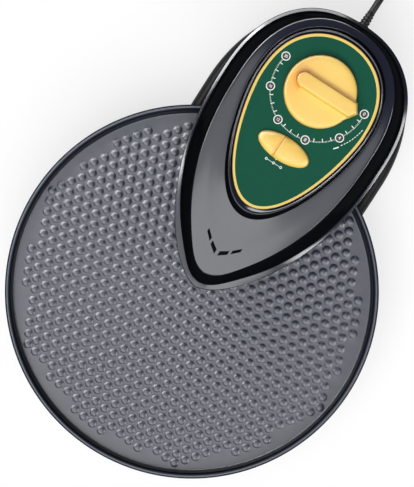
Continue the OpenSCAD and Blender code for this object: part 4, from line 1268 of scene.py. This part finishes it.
sleeve = Finish("glass_sleeve", (0.75, 0.74, 0.70), 0.7)
braid = sleeve.noise(0.35, 1.0, (1.0, 0.3, 0.3))
sleeve.set("Base Color", sleeve.mix(braid, (0.60, 0.59, 0.55), (0.86, 0.85, 0.80)))
sleeve.bump(braid, 0.05)
cover(sleeve, "internal_wires")

# %% [markdown]
# ## The boot
#
# The cord enters the base through a tapered boot with open ribs, so that it can't kink. The
# boot is turned about the cord's own line: its profile lists a flange inside the wall, a
# groove that holds it, and six ribs that get smaller outward.

# %% Boot
BOOT_Y, BOOT_Z = 299, 22
boot_profile = [(0.01, -11), (6.9, -11), (6.9, -3.9), (5.3, -3.5), (5.3, 0.1), (7.7, 0.1),
                (7.7, 2.0)]
for k in range(6):
    y, r = 3.0 + 3.4 * k, 5.6 - 0.26 * k
    boot_profile += [(r, y), (r, y + 2.1), (r - 0.9, y + 2.3), (r - 0.95, y + 3.2)]
boot_profile += [(4.2, 23.6), (4.0, 24.5), (3.45, 24.5)]


def along_y(profile, n=48):
    """Rings round an axis that runs back along Y."""
    angle = 2 * np.pi * np.arange(n) / n
    return [np.stack([r * np.cos(angle), np.full(n, BOOT_Y + y), BOOT_Z - r * np.sin(angle)],
                     axis=1) for r, y in profile]


boot_rings = rounded(along_y(boot_profile), 0.35, 2)
boot = add_piece("boot", *skin(boot_rings, caps=(True, True)), "housing",
                 stands_for=("strain_relief",), slot="cord_jacket")
print("boot faces:", len(boot.data.polygons))

# %% [markdown]
# ## The plug
#
# The plug is a flat moulded body with three grip ribs and a neck that meets the cord. Its
# rings are rounded boxes, a power curve with a power between that of a circle and that of a
# square, at levels along its length. The blades keep the model's mesh.

# %% Plug
PLUG_X, PLUG_Z = -92, 8
BOX_POWER = 2.6


def plug_ring(y, half_w, half_h, n=96):
    """A rounded box across the plug at one place along it."""
    angle = 2 * np.pi * np.arange(n) / n
    c, s = np.cos(angle), np.sin(angle)
    x = half_w * np.sign(c) * np.abs(c) ** (2 / BOX_POWER)
    z = half_h * np.sign(s) * np.abs(s) ** (2 / BOX_POWER)
    return np.stack([PLUG_X + x, np.full(n, y), PLUG_Z + z], axis=1)


plug_levels = [(309, 10.6, 6.2), (309.3, 11.2, 6.7), (311, 11.5, 7.0), (316, 11.4, 6.9)]
for k in range(3):
    y = 317.5 + 2.4 * k
    plug_levels += [(y, 11.2 - 0.3 * k, 6.2), (y + 1.0, 11.2 - 0.3 * k, 6.2),
                    (y + 1.2, 11.2 - 0.3 * k, 6.8), (y + 2.0, 11.1 - 0.3 * k, 6.8)]
plug_levels += [(325.5, 8.2, 6.0), (327, 6.2, 5.6), (329.5, 5.2, 5.2), (333, 4.9, 4.9),
                (335.8, 4.6, 4.6), (336, 3.6, 3.6)]
plug = add_piece("plug", *skin([plug_ring(*level) for level in plug_levels], caps=(True, True)),
                 "housing", stands_for=("plug_body",), slot="cord_jacket")
cover(cord_jacket, boot, plug)

# %% [markdown]
# ## The tie
#
# A soft band holds the coil together. It is a rounded loop round the stacked turns, with a
# real thickness: an outer path and an inner one, each drawn twice, at the left edge of the
# band and at its right.

# %% Tie
TIE_HALF, TIE_THICK = 3, 0.8
TIE_Y, TIE_Z = (31.6, 49.0), (0.1, 17.3)


def band(inward, radius):
    """The band's path round the turns, this far inside its outer face."""
    y0, y1 = TIE_Y[0] + inward, TIE_Y[1] - inward
    z0, z1 = TIE_Z[0] + inward, TIE_Z[1] - inward
    corners = [np.array([(0, y, z)]) for y, z in ((y0, z0), (y1, z0), (y1, z1), (y0, z1))]
    return rounded(corners, radius, 6, True)[:, 0]


band_out, band_in = band(0.0, 4.0), band(TIE_THICK, 3.2)
tie_rings = [path + (COIL_MIDDLE[0] + x, COIL_MIDDLE[1], 0)
             for path, x in ((band_out, -TIE_HALF), (band_out, TIE_HALF),
                             (band_in, TIE_HALF), (band_in, -TIE_HALF))]
tie = add_piece("tie", *skin(tie_rings, closed=True), "housing", stands_for=("cord_tie",),
                slot="matte_black", smooth=False)
cover(satin_black, tie)

print("tie faces:", len(tie.data.polygons))

# %% [markdown]
# ## The floor and the sky
#
# The object lies on a plain pale floor. The camera and every reflection see that floor partly
# as a plain white glow, and its own shaded white makes up the rest, so the background is
# nearly white and the object's soft shadow stays. The sky is dim, so that steep gloss faces
# stay black.

# %% Floor and sky
FLOOR_HALF, SEEN_GLOW, SKY_STRENGTH = 30, 0.7, 0.12
WHITE = (1.0, 1.0, 1.0, 1.0)
floor_mesh = bpy.data.meshes.new("floor")
floor_mesh.from_pydata([(x * FLOOR_HALF, y * FLOOR_HALF, 0) for x, y in
                        ((-1, -1), (1, -1), (1, 1), (-1, 1))], [], [(0, 1, 2, 3)])
floor = bpy.data.objects.new("floor", floor_mesh)
SCENE.objects.link(floor)
paper = Finish("paper", (0.97, 0.97, 0.97), 0.9, Specular_IOR_Level=0.0)
seen = (paper.node("LightPath", output="Is Camera Ray")
        + paper.node("LightPath", output="Is Glossy Ray")
        + paper.node("LightPath", output="Is Transmission Ray"))
glow = paper.node("Emission", None, {"Color": WHITE, "Strength": 1.0})
blend = paper.node("MixShader", None, {0: seen * SEEN_GLOW,
                                       1: Field(paper, paper.shader.outputs[0]), 2: glow})
paper.tree.links.new(blend.socket, paper.tree.nodes["Material Output"].inputs["Surface"])
floor_mesh.materials.append(paper.material)

sky = bpy.data.worlds.new("sky")
bpy.context.scene.world = sky
sky.use_nodes = True
backdrop = sky.node_tree.nodes["Background"].inputs
backdrop["Color"].default_value, backdrop["Strength"].default_value = WHITE, SKY_STRENGTH
print("floor and sky:", floor.name, sky.name)

# %% [markdown]
# ## Soft lamps
#
# Three sun lamps light the object evenly. Sun light is the same everywhere on the floor, and a
# wide angle makes its shadows soft. One stands nearly overhead, one in front, and a smaller
# one at the front right. The sloping top mirrors the front ones, which turns it grey, so
# their places are chosen for that reflection as much as for the light.

# %% Soft lamps
SUNS = {"top": (14, -91, 52, 1.48), "front": (32, -92, 38, 1.05), "side": (46, -50, 24, 0.86)}


def lamp_on(name, data, towards):
    """Puts a lamp in the scene, shining against the direction that points to it."""
    holder = bpy.data.objects.new(name, data)
    holder.rotation_euler = towards.to_track_quat("Z", "Y").to_euler()
    SCENE.objects.link(holder)
    return holder


def soft_lamp(name, tilt, towards, width, strength):
    """A lamp tilt degrees off the zenith, towards a compass angle, width degrees across."""
    lamp = bpy.data.lights.new(name, "SUN")
    lamp.energy, lamp.angle = strength, math.radians(width)
    t, a = math.radians(tilt), math.radians(towards)
    lamp_on(name, lamp, Vector((math.sin(t) * math.cos(a), math.sin(t) * math.sin(a),
                                math.cos(t))))


for name, numbers in SUNS.items():
    soft_lamp(name, *numbers)
print("sun lamps:", sorted(SUNS))

# %% [markdown]
# ## Long lamps for the gloss
#
# Black gloss shows what stands round it. In the photograph, pale lines run along the lip, the
# bead and the crease, and they are the mirrored image of long lamps at the sides. Four long
# lamps make the same lines. They show only in gloss, so the rest of the light stays as it is.

# %% Long lamps
GLOSS_AIM = (0.0, 0.14, 0.12)
STRIPS = {"left_strip": ((-1.0, 0.15, 0.76), 0.32, 1.0, 23.0),
          "right_strip": ((1.0, 0.12, 0.76), 0.32, 1.1, 15.5),
          "corner_strip": ((-0.76, -0.39, 1.04), 0.5, 1.3, 2.5),
          "rear_strip": ((-0.62, 0.86, 0.80), 0.50, 1.3, 11.0)}


def strip(name, place, wide, long, brightness):
    """A long lamp that only shows as a line in gloss, aimed at the housing."""
    lamp = bpy.data.lights.new(name, "AREA")
    lamp.shape, lamp.size, lamp.size_y = "RECTANGLE", long, wide
    lamp.energy = brightness * math.pi * wide * long
    holder = lamp_on(name, lamp, Vector(place) - Vector(GLOSS_AIM))
    holder.location = place
    holder.visible_diffuse = False


for name, numbers in STRIPS.items():
    strip(name, *numbers)
print("long lamps:", sorted(STRIPS))

# %% [markdown]
# ## Settings
#
# Colours are shown as they are written, with the Standard view.

# %% Settings
bpy.context.scene.view_settings.view_transform = "Standard"
